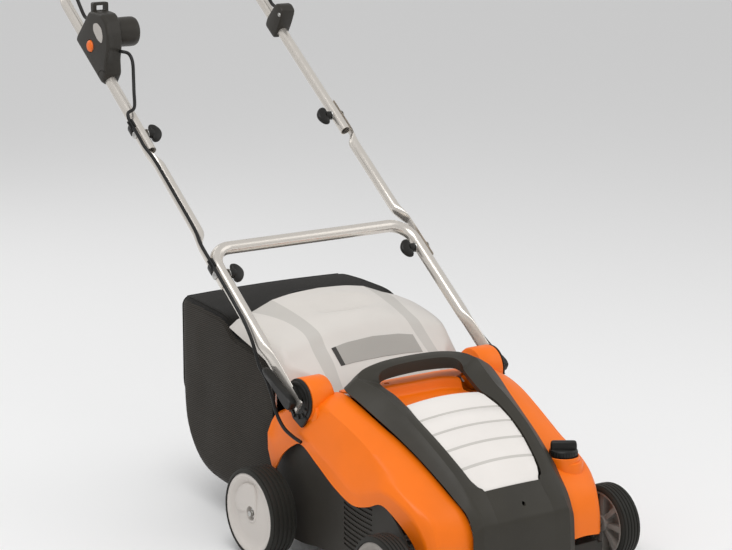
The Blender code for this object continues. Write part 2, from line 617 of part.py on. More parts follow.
# ---- handle ----
def make_lower_handle():
    """U-shaped lower handle with flattened feet and a crossbar."""
    def leg_ring(s, side, squash):
        flat_x = LEG_R + (0.0030 - LEG_R) * squash
        flat_n = LEG_R + (0.0165 - LEG_R) * squash
        centre = Vector(on_handle(s, side * LEG_X))
        lift = Vector((0, -math.sin(HANDLE_TILT), math.cos(HANDLE_TILT)))
        return [
            tuple(centre + Vector((flat_x * math.cos(a), 0, 0)) + lift * flat_n * math.sin(a))
            for a in [2 * math.pi * k / 12 for k in range(12)]
        ]

    rings = [leg_ring(s, 1, q) for s, q in (
        (-0.0165, 0.93), (-0.010, 1.0), (0.060, 1.0), (0.100, 0.85), (0.122, 0.25), (0.136, 0.0),
    )]
    path = [on_handle(LOWER_KNOB_S, LEG_X)] + handle_bend(CROSSBAR_S, CROSSBAR_BEND, 1)
    path += [(-x, y, z) for x, y, z in path[::-1]]
    lift = Vector((0, -math.sin(HANDLE_TILT), math.cos(HANDLE_TILT)))
    for i, p in enumerate(path):
        here = Vector(p)
        before, after = Vector(path[max(i - 1, 0)]), Vector(path[min(i + 1, len(path) - 1)])
        t = (after - before).normalized()
        out = lift.cross(t) * -1
        rings.append([
            tuple(here + out * LEG_R * math.cos(a) + lift * LEG_R * math.sin(a))
            for a in [2 * math.pi * k / 12 for k in range(12)]
        ])
    far = [
        [(-x, y, z) for x, y, z in leg_ring(s, 1, q)] for s, q in (
            (0.136, 0.0), (0.122, 0.25), (0.100, 0.85), (0.060, 1.0), (-0.010, 1.0), (-0.0165, 0.93),
        )
    ]
    rings += far
    handle = loft("lower_handle", rings, "aluminium")
    handle["colour"] = "aluminium"
    core = [on_handle(0.148, LEG_X), on_handle(LOWER_KNOB_S, LEG_X)]
    core += handle_bend(CROSSBAR_S, CROSSBAR_BEND, 1, 4)
    core += [(-x, y, z) for x, y, z in core[::-1]]
    cut(handle, rod("core", core, LEG_R - 0.0016, 8))
    for side in (-1, 1):
        y, z = on_handle(LOWER_KNOB_S)[1:]
        cut(handle, cylinder("hole", (0, y, z), 0.0034, side * 0.20, side * 0.26, segments=12))
        cut(handle, cylinder("hole", (0, PIVOT_Y, PIVOT_Z), 0.0045, side * 0.20, side * 0.26,
            segments=14))
    return handle


def make_mid_tube(name, side):
    """Straight middle tube. Each end is pressed into a strip that lies outside its neighbour."""
    lift = Vector((0, -math.sin(HANDLE_TILT), math.cos(HANDLE_TILT)))
    low_chord, high_chord = LEG_R + SHELL_GAP, TUBE_R + SHELL_GAP
    # station, outer radius, distance of the flat inner side from the tube's axis, roundness
    stations = [
        (SADDLE_LOW_S, SHELL_R_LOW, low_chord, 0.0), (0.380, SHELL_R_LOW, low_chord, 0.0),
        (0.394, 0.0148, low_chord, 0.35), (0.408, 0.0128, low_chord, 0.75),
        (0.422, TUBE_R, low_chord, 1.0), (0.600, TUBE_R, high_chord, 1.0),
        (0.612, 0.0118, high_chord, 0.75), (0.624, 0.0132, high_chord, 0.35),
        (0.635, SHELL_R_HIGH, high_chord, 0.0), (SADDLE_HIGH_S, SHELL_R_HIGH, high_chord, 0.0),
    ]
    rings = []
    for s, outer, chord, roundness in stations:
        centre = Vector(on_handle(s, side * LEG_X))
        flat_edge = math.acos(min(chord / (outer if roundness < 0.01 else SHELL_R_LOW), 1.0))
        reach = flat_edge + (math.pi / 2 - flat_edge) * roundness
        ring = []
        for k in range(11):
            a = reach * (-1 + 2 * k / 10)
            out = Vector((side * outer * math.cos(a), 0, 0))
            ring.append(tuple(centre + out + lift * outer * math.sin(a)))
        for k in range(1, 8):
            a = math.pi / 2 * (1 - 2 * k / 8)
            x = (1 - roundness) * chord - roundness * outer * math.cos(a)
            chord_u = outer * math.sin(reach) * (1 - 2 * k / 8)
            u = (1 - roundness) * chord_u + roundness * outer * math.sin(a)
            ring.append(tuple(centre + Vector((side * x, 0, 0)) + lift * u))
        rings.append(ring)
    body = loft(name, rings, "aluminium")
    body["colour"] = "aluminium"
    for s in (LOWER_KNOB_S, UPPER_KNOB_S):
        y, z = on_handle(s)[1:]
        low, high = sorted((side * 0.20, side * 0.26))
        cut(body, cylinder("hole", (0, y, z), 0.0034, low, high, segments=12))
    return body


def make_upper_handle():
    """Upper handle: two open-ended legs and the grip bar that joins them."""
    path = [on_handle(UPPER_END_S, LEG_X), on_handle(0.75, LEG_X), on_handle(0.95, LEG_X)]
    path += handle_bend(GRIP_S, GRIP_BEND, 1, 5)
    path += [(-x, y, z) for x, y, z in path[::-1]]
    handle = tube("upper_handle", path, TUBE_R, TUBE_WALL, 12)
    handle["colour"] = "aluminium"
    for side in (-1, 1):
        y, z = on_handle(UPPER_KNOB_S)[1:]
        cut(handle, cylinder("hole", (0, y, z), 0.0034, side * 0.20, side * 0.26, segments=12))
    return handle


def make_wing_knob(name, s, side, tube_r):
    """Half-moon wing knob on the inner side of a tube, with its hub."""
    y, z = on_handle(s)[1:]
    face = side * (LEG_X - tube_r - 0.0024)
    along = (math.sin(KNOB_LEAN), math.cos(KNOB_LEAN))
    across = (-math.cos(KNOB_LEAN), math.sin(KNOB_LEAN))
    rings = []
    for depth, length, thickness in KNOB_SECTIONS:
        ring = []
        for k in range(14):
            a = 2 * math.pi * k / 14
            u, v = length * math.cos(a), thickness * math.sin(a)
            ring.append((face - side * depth, y + u * along[0] + v * across[0],
                z + u * along[1] + v * across[1]))
        rings.append(ring)
    knob = loft(name, rings, "black")
    knob["colour"] = "black"
    hub = cylinder("hub", (0, y, z), 0.0085, face, face - side * 0.0130, segments=14)
    join(knob, hub)
    cut(knob, cylinder("bore", (0, y, z), 0.0034, face + side * 0.004, face - side * 0.0165, segments=12))
    return knob


def make_bolt(name, s, side, tube_r, shell_r):
    """Bolt from outside through shell and tube into the knob, with a washer face under the knob."""
    y, z = on_handle(s)[1:]
    head = side * (LEG_X + shell_r + 0.0006)
    tip = side * (LEG_X - tube_r - 0.0020 - 0.014)
    profile = [
        (0.0001, head + side * 0.0042), (0.0050, head + side * 0.0040), (0.0078, head + side * 0.0012),
        (0.0078, head), (0.0030, head), (0.0030, tip), (0.0001, tip),
    ]
    return lathe(name, profile, (0, y, z), segments=12, colour="steel")


def make_clamp(side, suffix):
    """Handle bracket, clamp bolt and quick clamp lever on one side."""
    centre = (0, PIVOT_Y, PIVOT_Z)
    bracket = lathe("handle_bracket_" + suffix, [
        (0.0001, side * 0.2190), (0.0400, side * 0.2190), (0.0400, side * 0.2225),
        (0.0345, side * 0.2227), (0.0345, side * 0.2262), (0.0001, side * 0.2262),
    ], centre, segments=24, colour="black")
    bracket["colour"] = "black"
    tail = [(-0.100, 0.280), (-0.082, 0.259), (-0.052, 0.272), (-0.045, 0.290), (-0.071, 0.300)]
    low, high = sorted((side * 0.2196, side * 0.2250))
    join(bracket, prism("tail", tail, low, high))
    low, high = sorted((side * 0.2240, side * 0.2340))
    for lift in (0.0178, -0.0208):
        corners = ((-0.012, lift), (0.018, lift), (0.018, lift + 0.003), (-0.012, lift + 0.003))
        join(bracket, prism("cheek", [on_handle(s, 0, v)[1:] for s, v in corners], low, high))
    low, high = sorted((side * 0.21, side * 0.24))
    cut(bracket, cylinder("bore", centre, 0.0044, low, high, segments=16))
    bolt = cylinder("clamp_bolt_" + suffix, centre, 0.0040, side * 0.1785, side * 0.2395, segments=16,
        colour="steel")
    outline = [
        (-0.014, -0.008), (-0.004, -0.0115), (0.010, -0.0110), (0.045, -0.0062), (0.088, -0.0050),
        (0.095, 0.0), (0.088, 0.0050), (0.045, 0.0062), (0.010, 0.0110), (-0.004, 0.0115),
        (-0.014, 0.008),
    ]
    turn = HANDLE_TILT - LEVER_DROP

    def lever_ring(x, grow):
        ring = []
        for u, v in outline:
            y = PIVOT_Y + grow * (u * math.cos(turn) - v * math.sin(turn))
            ring.append((side * x, y, PIVOT_Z + grow * (u * math.sin(turn) + v * math.cos(turn))))
        return ring

    sections = ((0.2355, 0.94), (0.2385, 1.0), (0.2490, 1.0), (0.2515, 0.93))
    lever = loft("clamp_lever_" + suffix, [lever_ring(x, grow) for x, grow in sections], "black")
    lever["colour"] = "black"
    low, high = sorted((side * 0.2300, side * 0.2425))
    cut(lever, cylinder("socket", centre, 0.0046, low, high, segments=16))
    return bracket, bolt, lever


def make_switch_box():
    """Switch box on the right-hand leg with its plug shroud and the bar that anchors the mains lead."""
    outline = [
        (0.7060, 0.8890), (0.6985, 0.9010), (0.6750, 0.9240), (0.6560, 0.9440), (0.6440, 0.9560),
        (0.6200, 0.9560), (0.5980, 0.9530), (0.5860, 0.9380), (0.5800, 0.9150), (0.5800, 0.8850),
        (0.5860, 0.8600), (0.5840, 0.8318), (0.6040, 0.8060),
    ]
    middle = (0.640, 0.892)

    def section(x, grow):
        y0, z0 = middle
        return [(x, y0 + grow * (y - y0), z0 + grow * (z - z0)) for y, z in outline]

    rings = [section(-0.2490, 0.90), section(-0.2450, 0.985), section(-0.2400, 1.0),
        section(-0.2150, 1.0)]
    case = loft("switch_box", rings + [section(-0.2110, 0.97), section(-0.2085, 0.90)], "dark")
    case["colour"] = "dark"
    join(case, box("relief", (-0.2440, 0.6320, 0.9400), (-0.2100, 0.6440, 0.9730)))
    cut(case, box("window", (-0.2370, 0.6200, 0.9570), (-0.2170, 0.6600, 0.9670)))
    shroud = lathe("shroud", [
        (0.0001, -0.2120), (SHROUD_R - 0.001, -0.2120), (SHROUD_R, -0.1680), (SHROUD_R - 0.001, -0.1615),
        (SHROUD_R - 0.0045, -SHROUD_END), (SHROUD_R - 0.0070, -SHROUD_END), (SHROUD_R - 0.0070, -0.1950),
        (0.0001, -0.1950),
    ], (0, SHROUD_Y, SHROUD_Z), segments=24)
    join(case, shroud)
    for dy in (-0.007, 0.007):
        join(case, cylinder("pin", (0, SHROUD_Y + dy, SHROUD_Z), 0.0024, -0.1980, -0.1720, segments=10))
    y0, z0 = on_handle(0.78)[1:]
    y1, z1 = on_handle(1.12)[1:]
    cut(case, rod("bore", [(-LEG_X, y0, z0), (-LEG_X, y1, z1)], TUBE_R + 0.0004, 24))
    cut(case, cylinder("button_well", (0, BUTTON_Y, BUTTON_Z), 0.0126, -0.2600, -0.2385, segments=24))
    cut(case, bail_slot())
    py, pz = on_handle(BAIL_S, 0, BAIL_LIFT)[1:]
    cut(case, cylinder("bail_bore", (0, py, pz), 0.0044, -0.2260, -0.2120, segments=14))
    cut(case, cylinder("cable_exit", (-0.2160, 0, 0.8790), 0.0038, 0.570, 0.592, "Y", 12))
    button = lathe("start_button", [
        (0.0001, -0.2535), (0.0080, -0.2530), (0.0112, -0.2512), (0.0120, -0.2490),
        (0.0120, -0.2420), (0.0001, -0.2420),
    ], (0, BUTTON_Y, BUTTON_Z), segments=20, colour="orange")
    return case, button


def bail_slot(side=-1):
    """Cutter for the slot in which a bail arm swings."""
    corners = ((0.9475, 0.0135), (1.0000, 0.0135), (1.0000, 0.0440), (0.9640, 0.0500), (0.9475, 0.0500))
    low, high = sorted((side * (BAIL_X - 0.0055), side * (BAIL_X + 0.0055)))
    return prism("bail_slot", [on_handle(s, 0, lift)[1:] for s, lift in corners], low, high)


def make_bail():
    """Switch bail: a bent rod pivoted in the switch box and in the far bracket."""
    half = [
        on_handle(BAIL_S, BAIL_X - 0.0105, BAIL_LIFT), on_handle(BAIL_S, BAIL_X - 0.0045, BAIL_LIFT),
        on_handle(BAIL_S + 0.0025, BAIL_X - 0.0008, BAIL_LIFT - 0.0012),
        on_handle(BAIL_S + 0.009, BAIL_X, BAIL_LIFT - 0.005),
        on_handle(0.990, BAIL_X, 0.0290), on_handle(1.005, BAIL_X, 0.0265),
        on_handle(1.035, BAIL_X, 0.0320),
        on_handle(1.090, BAIL_X - 0.001, 0.0440), on_handle(1.108, BAIL_X - 0.006, 0.0475),
        on_handle(1.121, BAIL_X - 0.019, 0.0500), on_handle(1.125, BAIL_X - 0.040, 0.0510),
        on_handle(1.125, 0.120, 0.0510),
    ]
    path = half + [(-x, y, z) for x, y, z in half[::-1]]
    return rod("switch_bail", path, 0.0036, 8, "black")


def make_bail_bracket():
    """Black bracket round the left-hand leg that carries the other end of the bail."""
    outline = [
        (0.9380, -0.0160), (0.9790, -0.0160), (0.9830, 0.0000), (0.9800, 0.0250), (0.9760, 0.0500),
        (0.9650, 0.0560), (0.9480, 0.0540), (0.9430, 0.0350), (0.9400, 0.0170),
    ]
    middle = (0.960, 0.018)

    def section(x, grow):
        return [on_handle(middle[0] + grow * (s - middle[0]), x,
            middle[1] + grow * (v - middle[1])) for s, v in outline]

    rings = [section(0.2130, 0.92), section(0.2160, 1.0), section(0.2430, 1.0), section(0.2470, 0.92)]
    bracket = loft("bail_bracket", rings, "dark")
    bracket["colour"] = "dark"
    y0, z0 = on_handle(0.90)[1:]
    y1, z1 = on_handle(1.05)[1:]
    cut(bracket, rod("bore", [(LEG_X, y0, z0), (LEG_X, y1, z1)], TUBE_R + 0.0004, 24))
    cut(bracket, bail_slot(1))
    py, pz = on_handle(BAIL_S, 0, BAIL_LIFT)[1:]
    cut(bracket, cylinder("bail_bore", (0, py, pz), 0.0044, 0.2080, 0.2260, segments=14))
    return bracket


def make_cables():
    """Motor lead in four pieces, one per body that carries it."""
    upper = rod("cable_upper", [
        (-0.2160, 0.5785, 0.8790), (-0.2140, 0.5722, 0.8790), (-0.2065, 0.5640, 0.8765),
        (-0.2045, 0.5545, 0.8690), (-0.2050, 0.5470, 0.8563), (-0.2080, 0.5402, 0.8354),
        (-0.2150, 0.5270, 0.8060), (-0.2290, 0.5020, 0.7770),
        on_handle(0.7300, -0.2455, 0.0190), on_handle(0.7205, -0.2488, 0.0158),
        on_handle(0.7152, CABLE_X, CABLE_LIFT),
    ], CABLE_R, 8, "black")
    mid = rod("cable_mid", [
        on_handle(0.7135, CABLE_X, CABLE_LIFT), on_handle(0.640, CABLE_X, CABLE_LIFT),
        on_handle(0.600, -0.2440, 0.0145), on_handle(0.420, -0.2440, 0.0145),
        on_handle(0.380, CABLE_X, CABLE_LIFT),
        on_handle(0.3130, CABLE_X, CABLE_LIFT),
    ], CABLE_R, 8, "black")
    lower = rod("cable_lower", [
        on_handle(0.3122, CABLE_X, CABLE_LIFT), on_handle(0.250, CABLE_X, 0.0140),
        on_handle(0.190, -0.2485, 0.0110),
        on_handle(0.155, -0.2475, 0.0030), on_handle(0.128, -0.2465, -0.0090),
        on_handle(0.105, -0.2450, -0.0215),
        on_handle(0.080, -0.2400, -0.0300),
    ], CABLE_R, 8, "black")
    y, z = on_handle(0.0793, 0, -0.0303)[1:]
    root = rod("cable_root", [
        (-0.2398, y, z), (-0.2395, -0.0075, 0.3060), (-0.2390, -0.0220, 0.2760),
        (-0.2365, -0.0420, 0.2530), (-0.2320, -0.0650, 0.2410), (-0.2290, -0.0880, 0.2350),
    ], CABLE_R, 8, "black")
    return upper, mid, lower, root


def make_clip(name, s, tube_r, shell_r):
    """Cable clip on the outer side of a pressed tube end, with a hook round the lead."""
    wrap = math.acos((tube_r + 0.0006) / (shell_r + 0.0003))
    lift = Vector((0, -math.sin(HANDLE_TILT), math.cos(HANDLE_TILT)))
    along = Vector((0, math.cos(HANDLE_TILT), math.sin(HANDLE_TILT)))
    out, up = -(CABLE_X + LEG_X), CABLE_LIFT
    hook = math.atan2(up, out)

    def piece(centre_out, centre_up, inner, outer, first, last, count):
        rings = []
        for step in (-0.0075, 0.0075):
            turn = [first + (last - first) * k / count for k in range(count + 1)]
            arc_points = [(outer, a) for a in turn] + [(inner, a) for a in turn[::-1]]
            centre = Vector(on_handle(s, -LEG_X)) + along * step
            places = [(centre_out + r * math.cos(a), centre_up + r * math.sin(a)) for r, a in arc_points]
            rings.append([tuple(centre - Vector((u, 0, 0)) + lift * v) for u, v in places])
        return loft(name, rings, "black")

    clip = piece(0, 0, shell_r + 0.0003, SHELL_R_LOW + 0.0030, -wrap, wrap, 6)
    clip["colour"] = "black"
    join(clip, piece(out, up, CABLE_R + 0.0004, CABLE_R + 0.0030, hook + 0.8, hook + 5.5, 12))
    return clip


# ---- running gear ----
def make_tyre(name, radius, inner, outer, bore, y, z, side):
    """Tyre with three grooves round its tread."""
    width = outer - inner
    profile = [(bore, inner), (radius - 0.006, inner), (radius - 0.0015, inner + 0.004)]
    for k in range(3):
        x = inner + width * (0.25 + 0.25 * k)
        profile += [(radius, x - 0.0012), (radius - 0.0022, x), (radius, x + 0.0012)]
    profile += [(radius - 0.0015, outer - 0.004), (radius - 0.006, outer), (bore, outer)]
    loop = [(r, side * x) for r, x in profile]
    return turned(name, loop, (0, y, z), segments=WHEEL_SEGMENTS, colour="rubber")


def make_rim(name, bore, inner, outer, y, z, side, hub_r, colour, dish, axle_r):
    """Wheel body with a dished outer face, a hub and spokes behind it."""
    lip = bore - 0.0003
    profile = [
        (axle_r, outer - dish - 0.006), (hub_r, outer - dish - 0.006), (hub_r + 0.001, outer - dish),
        (lip - 0.016, outer - dish + 0.003), (lip - 0.009, outer - 0.001), (lip, outer - 0.0005),
        (lip, inner + 0.001), (lip - 0.004, inner + 0.001), (lip - 0.006, outer - dish - 0.003),
        (hub_r + 0.006, outer - dish - 0.012), (hub_r + 0.003, inner + 0.004), (axle_r, inner + 0.004),
    ]
    loop = [(r, side * x) for r, x in profile]
    return turned(name, loop, (0, y, z), segments=WHEEL_SEGMENTS, colour=colour)


def make_wheels():
    for side, suffix in ((-1, "right"), (1, "left")):
        make_tyre("rear_tyre_" + suffix, REAR_WHEEL_R, REAR_WHEEL_IN, REAR_WHEEL_OUT, 0.0785, 0.0,
            REAR_WHEEL_R, side)
        make_rim("rear_rim_" + suffix, 0.0785, REAR_WHEEL_IN, REAR_WHEEL_OUT, 0.0, REAR_WHEEL_R, side,
                 0.016, "warm_grey", 0.006, 0.0060)
        make_tyre("front_tyre_" + suffix, FRONT_WHEEL_R, FRONT_WHEEL_IN, FRONT_WHEEL_OUT, 0.0640,
            -WHEEL_BASE,
                  FRONT_WHEEL_R, side)
        rim = make_rim("front_rim_" + suffix, 0.0640, FRONT_WHEEL_IN, FRONT_WHEEL_OUT, -WHEEL_BASE,
            FRONT_WHEEL_R, side,
                       0.013, "mid_grey", 0.010, 0.0056)
        rim["colour"] = "mid_grey"
        for k in range(6):
            a = 2 * math.pi * k / 6
            spoke = [(0.013, -0.0015), (0.061, -0.0015), (0.061, 0.0015), (0.013, 0.0015)]
            outline = [
                (-WHEEL_BASE + u * math.cos(a) - v * math.sin(a),
                FRONT_WHEEL_R + u * math.sin(a) + v * math.cos(a))
                for u, v in spoke
            ]
            low, high = sorted((side * (FRONT_WHEEL_IN + 0.008), side * (FRONT_WHEEL_OUT - 0.014)))
            join(rim, prism("spoke", outline, low, high))
        lathe("front_cap_" + suffix, [
            (0.0001, side * (FRONT_WHEEL_OUT - 0.0005)), (0.026, side * (FRONT_WHEEL_OUT - 0.0010)),
            (0.036, side * (FRONT_WHEEL_OUT - 0.0035)), (0.0365, side * (FRONT_WHEEL_OUT - 0.0060)),
            (0.0001, side * (FRONT_WHEEL_OUT - 0.0062)),
        ], (0, -WHEEL_BASE, FRONT_WHEEL_R), segments=24, colour="white")


def make_axles():
    """Rear axle through the deck, and the front axle on two crank arms that the dial swings."""
    cylinder("rear_axle", (0, 0, REAR_WHEEL_R), 0.0052, -0.2860, 0.2860, segments=16, colour="steel")
    axle = cylinder("front_axle", (0, -WHEEL_BASE, FRONT_WHEEL_R), 0.0048, -0.2660, 0.2660, segments=16,
        colour="steel")
    axle["colour"] = "steel"
    for x in (-0.170, 0.164):
        arm = [(-0.386, 0.0690), (-0.384, 0.0665), (-0.298, 0.0925), (-0.2965, 0.0985), (-0.303, 0.1015),
            (-0.384, 0.0775)]
        join(axle, prism("arm", arm, x, x + 0.006))
    join(axle, cylinder("shaft", (0, CRANK_Y, CRANK_Z), 0.0050, -0.2040, 0.2040, segments=16))
    return axle


def make_dial():
    """Depth dial: a ribbed cap with a grip bar and a stem into the deck."""
    profile = [
        (0.0001, DIAL_FLOOR + 0.0005), (DIAL_R - 0.003, DIAL_FLOOR + 0.0005),
        (DIAL_R, DIAL_FLOOR + 0.004), (DIAL_R, DIAL_FLOOR + 0.013),
        (DIAL_R - 0.0025, DIAL_FLOOR + 0.0155), (0.0001, DIAL_FLOOR + 0.0160),
    ]
    dial = lathe("depth_dial", profile, (DIAL_X, DIAL_Y, 0), "Z", 24, "black")
    dial["colour"] = "black"
    bar = []
    c, n = math.cos(DIAL_TURN), math.sin(DIAL_TURN)
    for z, half, wide in ((0.012, 0.0240, 0.0075), (0.026, 0.0235, 0.0068), (0.030, 0.0215, 0.0050)):
        corners = ((-half, -wide), (half, -wide), (half, wide), (-half, wide))
        bar.append([(DIAL_X + u * c - v * n, DIAL_Y + u * n + v * c, DIAL_FLOOR + z) for u, v in corners])
    join(dial, loft("bar", bar, smooth=False))
    join(dial, cylinder("stem", (DIAL_X, DIAL_Y, 0), 0.0048, 0.125, DIAL_FLOOR + 0.004, "Z", 14))
    return dial


def make_drive():
    """Motor drum with its end bearings, bored for the shaft."""
    return turned("motor", [
        (0.0050, -0.1000), (0.0200, -0.1000), (0.0210, -0.0880), (MOTOR_R - 0.003, -0.0860),
        (MOTOR_R, -0.0800), (MOTOR_R, 0.0780), (MOTOR_R - 0.004, 0.0860), (0.0180, 0.0880),
        (0.0180, 0.0980), (0.0050, 0.0980),
    ], (0, MOTOR_Y, MOTOR_Z), segments=20, colour="steel")


def make_belt():
    """Toothed belt round both pulleys."""
    big, small = 0.0339, 0.0174
    length = math.hypot(ROTOR_Y - MOTOR_Y, ROTOR_Z - MOTOR_Z)
    base = math.atan2(ROTOR_Z - MOTOR_Z, ROTOR_Y - MOTOR_Y)
    spread = math.pi / 2 + math.asin((big - small) / length)
    path = []
    for k in range(11):
        a = base + spread + (2 * math.pi - 2 * spread) * k / 10
        path.append((MOTOR_Y + small * math.cos(a), MOTOR_Z + small * math.sin(a), a))
    for k in range(15):
        a = base - spread + 2 * spread * k / 14
        path.append((ROTOR_Y + big * math.cos(a), ROTOR_Z + big * math.sin(a), a))
    rings = []
    for y, z, a in path:
        rings.append([
            (BELT_X + dx, y + r * math.cos(a), z + r * math.sin(a))
            for dx, r in ((-0.004, 0.0), (0.004, 0.0), (0.004, 0.0026), (-0.004, 0.0026))
        ])
    return loft("drive_belt", rings, "rubber", closed_path=True)


def pulley(name, radius, bore, y, z, colour="mid_grey"):
    loop = [
        (bore, BELT_X - 0.0065), (radius + 0.003, BELT_X - 0.0065), (radius + 0.003, BELT_X - 0.0050),
        (radius, BELT_X - 0.0047), (radius, BELT_X + 0.0047), (radius + 0.003, BELT_X + 0.0050),
        (radius + 0.003, BELT_X + 0.0062), (bore, BELT_X + 0.0062),
    ]
    return turned(name, loop, (0, y, z), segments=18, colour=colour)


def make_rotor():
    """Rotor shaft with twelve pairs of spring tines set in a spiral."""
    lathe("rotor_shaft", [
        (0.0001, -0.2016), (0.0060, -0.2016), (0.0060, -0.1705), (0.0150, -0.1700), (0.0150, 0.1850),
        (0.0060, 0.1855), (0.0060, 0.2016), (0.0001, 0.2016),
    ], (0, ROTOR_Y, ROTOR_Z), segments=20, colour="steel")
    shaft = bpy.data.objects["rotor_shaft"]
    shaft["colour"] = "steel"
    points, faces = [], []
    for k in range(12):
        x = -0.158 + 0.0285 * k
        for flip in (0, math.pi):
            a = math.radians(55 * k) + flip
            outline = [(0.008, -0.004), (0.050, -0.003), (ROTOR_REACH, 0.006), (0.050, 0.004),
                (0.008, 0.004)]
            base = len(points)
            for dx in (-0.0016, 0.0016):
                for u, v in outline:
                    y = ROTOR_Y + u * math.cos(a) - v * math.sin(a)
                    z = ROTOR_Z + u * math.sin(a) + v * math.cos(a)
                    points.append((x + dx, y, z))
            n = len(outline)
            faces.append(tuple(base + i for i in range(n)))
            faces.append(tuple(base + n + i for i in reversed(range(n))))
            for i in range(n):
                j = (i + 1) % n
                faces.append((base + i, base + n + i, base + n + j, base + j))
    tines = build("tines", points, faces, "steel", smooth=False)
    join(shaft, tines)
    for side, suffix in ((-1, "right"), (1, "left")):
        pipe("rotor_bearing_" + suffix, (0, ROTOR_Y, ROTOR_Z), 0.0121, 0.0063, side * 0.1960,
            side * 0.2020, segments=18,
             colour="steel")
    return shaft


def make_motor_shaft():
    return lathe("motor_shaft", [
        (0.0001, -0.1925), (0.0045, -0.1925), (0.0045, 0.1040), (0.0001, 0.1040),
    ], (0, MOTOR_Y, MOTOR_Z), segments=14, colour="steel")


def joint_points():
    """A point on the joint axis of each moving piece, in the machine frame."""
    pivot = (0.0, PIVOT_Y, PIVOT_Z)
    lower, upper = on_handle(LOWER_KNOB_S), on_handle(UPPER_KNOB_S)
    front = (0.0, -WHEEL_BASE, FRONT_WHEEL_R)
    points = {
        "lower_handle": pivot, "cable_lower": pivot, "upper_handle": upper, "switch_box": upper,
        "bail_bracket": upper, "cable_upper": upper, "cable_mid": lower, "cable_clip_upper": lower,
        "cable_clip_lower": lower, "switch_bail": on_handle(BAIL_S, 0.0, BAIL_LIFT),
        "start_button": (-0.2420, BUTTON_Y, BUTTON_Z), "rear_flap": (0.0, FLAP_PIN_Y, FLAP_PIN_Z),
        "front_axle": (0.0, CRANK_Y, CRANK_Z), "depth_dial": (DIAL_X, DIAL_Y, DIAL_FLOOR),
        "rotor_shaft": (0.0, ROTOR_Y, ROTOR_Z), "rotor_pulley": (BELT_X, ROTOR_Y, ROTOR_Z),
        "motor_shaft": (0.0, MOTOR_Y, MOTOR_Z), "motor_pulley": (BELT_X, MOTOR_Y, MOTOR_Z),
    }
    for side, suffix in ((-1, "right"), (1, "left")):
        for name in ("handle_bracket_", "clamp_bolt_", "clamp_lever_"):
            points[name + suffix] = pivot
        for name in ("mid_tube_", "lower_bolt_", "upper_bolt_", "lower_knob_"):
            points[name + suffix] = lower
        points["upper_knob_" + suffix] = upper
        for name in ("front_tyre_", "front_rim_", "front_cap_"):
            points[name + suffix] = front
        for name in ("rear_tyre_", "rear_rim_"):
            points[name + suffix] = (0.0, 0.0, REAR_WHEEL_R)
    return points


def place_all():
    """Puts each origin on the joint axis of its piece and moves the machine frame to the object's."""
    points = joint_points()
    for obj in bpy.data.objects:
        origin = Vector(points.get(obj.name, (0.0, 0.0, 0.0)))
        coords = np.empty(len(obj.data.vertices) * 3)
        obj.data.vertices.foreach_get("co", coords)
        coords = coords.reshape(-1, 3) - np.array(origin)
        obj.data.vertices.foreach_set("co", coords.reshape(-1))
        obj.data.update()
        obj.location = origin + Vector(ORIGIN_SHIFT)
        if "colour" in obj:
            del obj["colour"]


def main():
    clear_scene()
    make_top_housing()
    make_hood()
    make_motor_cover()
    make_deck()
    make_flap()
    cylinder("flap_pin", (0, FLAP_PIN_Y, FLAP_PIN_Z), 0.0030, -0.1730, 0.1730, segments=14,
        colour="steel")
    make_bag()
    make_lower_handle()
    make_upper_handle()
    for side, suffix in ((-1, "right"), (1, "left")):
        make_mid_tube("mid_tube_" + suffix, side)
        for s, level, tube_r, shell_r in (
            (LOWER_KNOB_S, "lower", LEG_R, SHELL_R_LOW), (UPPER_KNOB_S, "upper", TUBE_R, SHELL_R_HIGH),
        ):
            make_wing_knob(level + "_knob_" + suffix, s, side, tube_r)
            make_bolt(level + "_bolt_" + suffix, s, side, tube_r, shell_r)
        make_clamp(side, suffix)
    make_switch_box()
    make_bail()
    make_bail_bracket()
    make_cables()
    make_clip("cable_clip_upper", 0.7030, TUBE_R, SHELL_R_HIGH)
    make_clip("cable_clip_lower", 0.3300, LEG_R, SHELL_R_LOW)
    make_wheels()
    make_axles()
    make_dial()
    make_drive()
    make_motor_shaft()
    pulley("motor_pulley", 0.0170, 0.0048, MOTOR_Y, MOTOR_Z)
    pulley("rotor_pulley", 0.0335, 0.0063, ROTOR_Y, ROTOR_Z)
    make_belt()
    make_rotor()
    place_all()


main()
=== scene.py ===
"""Looks of the lawn dethatcher: finished shells, fabric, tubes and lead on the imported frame.

Places are written in the machine frame (y = 0 on the rear axle, z = 0 on the ground), as in part.py.
OFFSET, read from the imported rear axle, moves them to the frame's own origin.
"""
import math

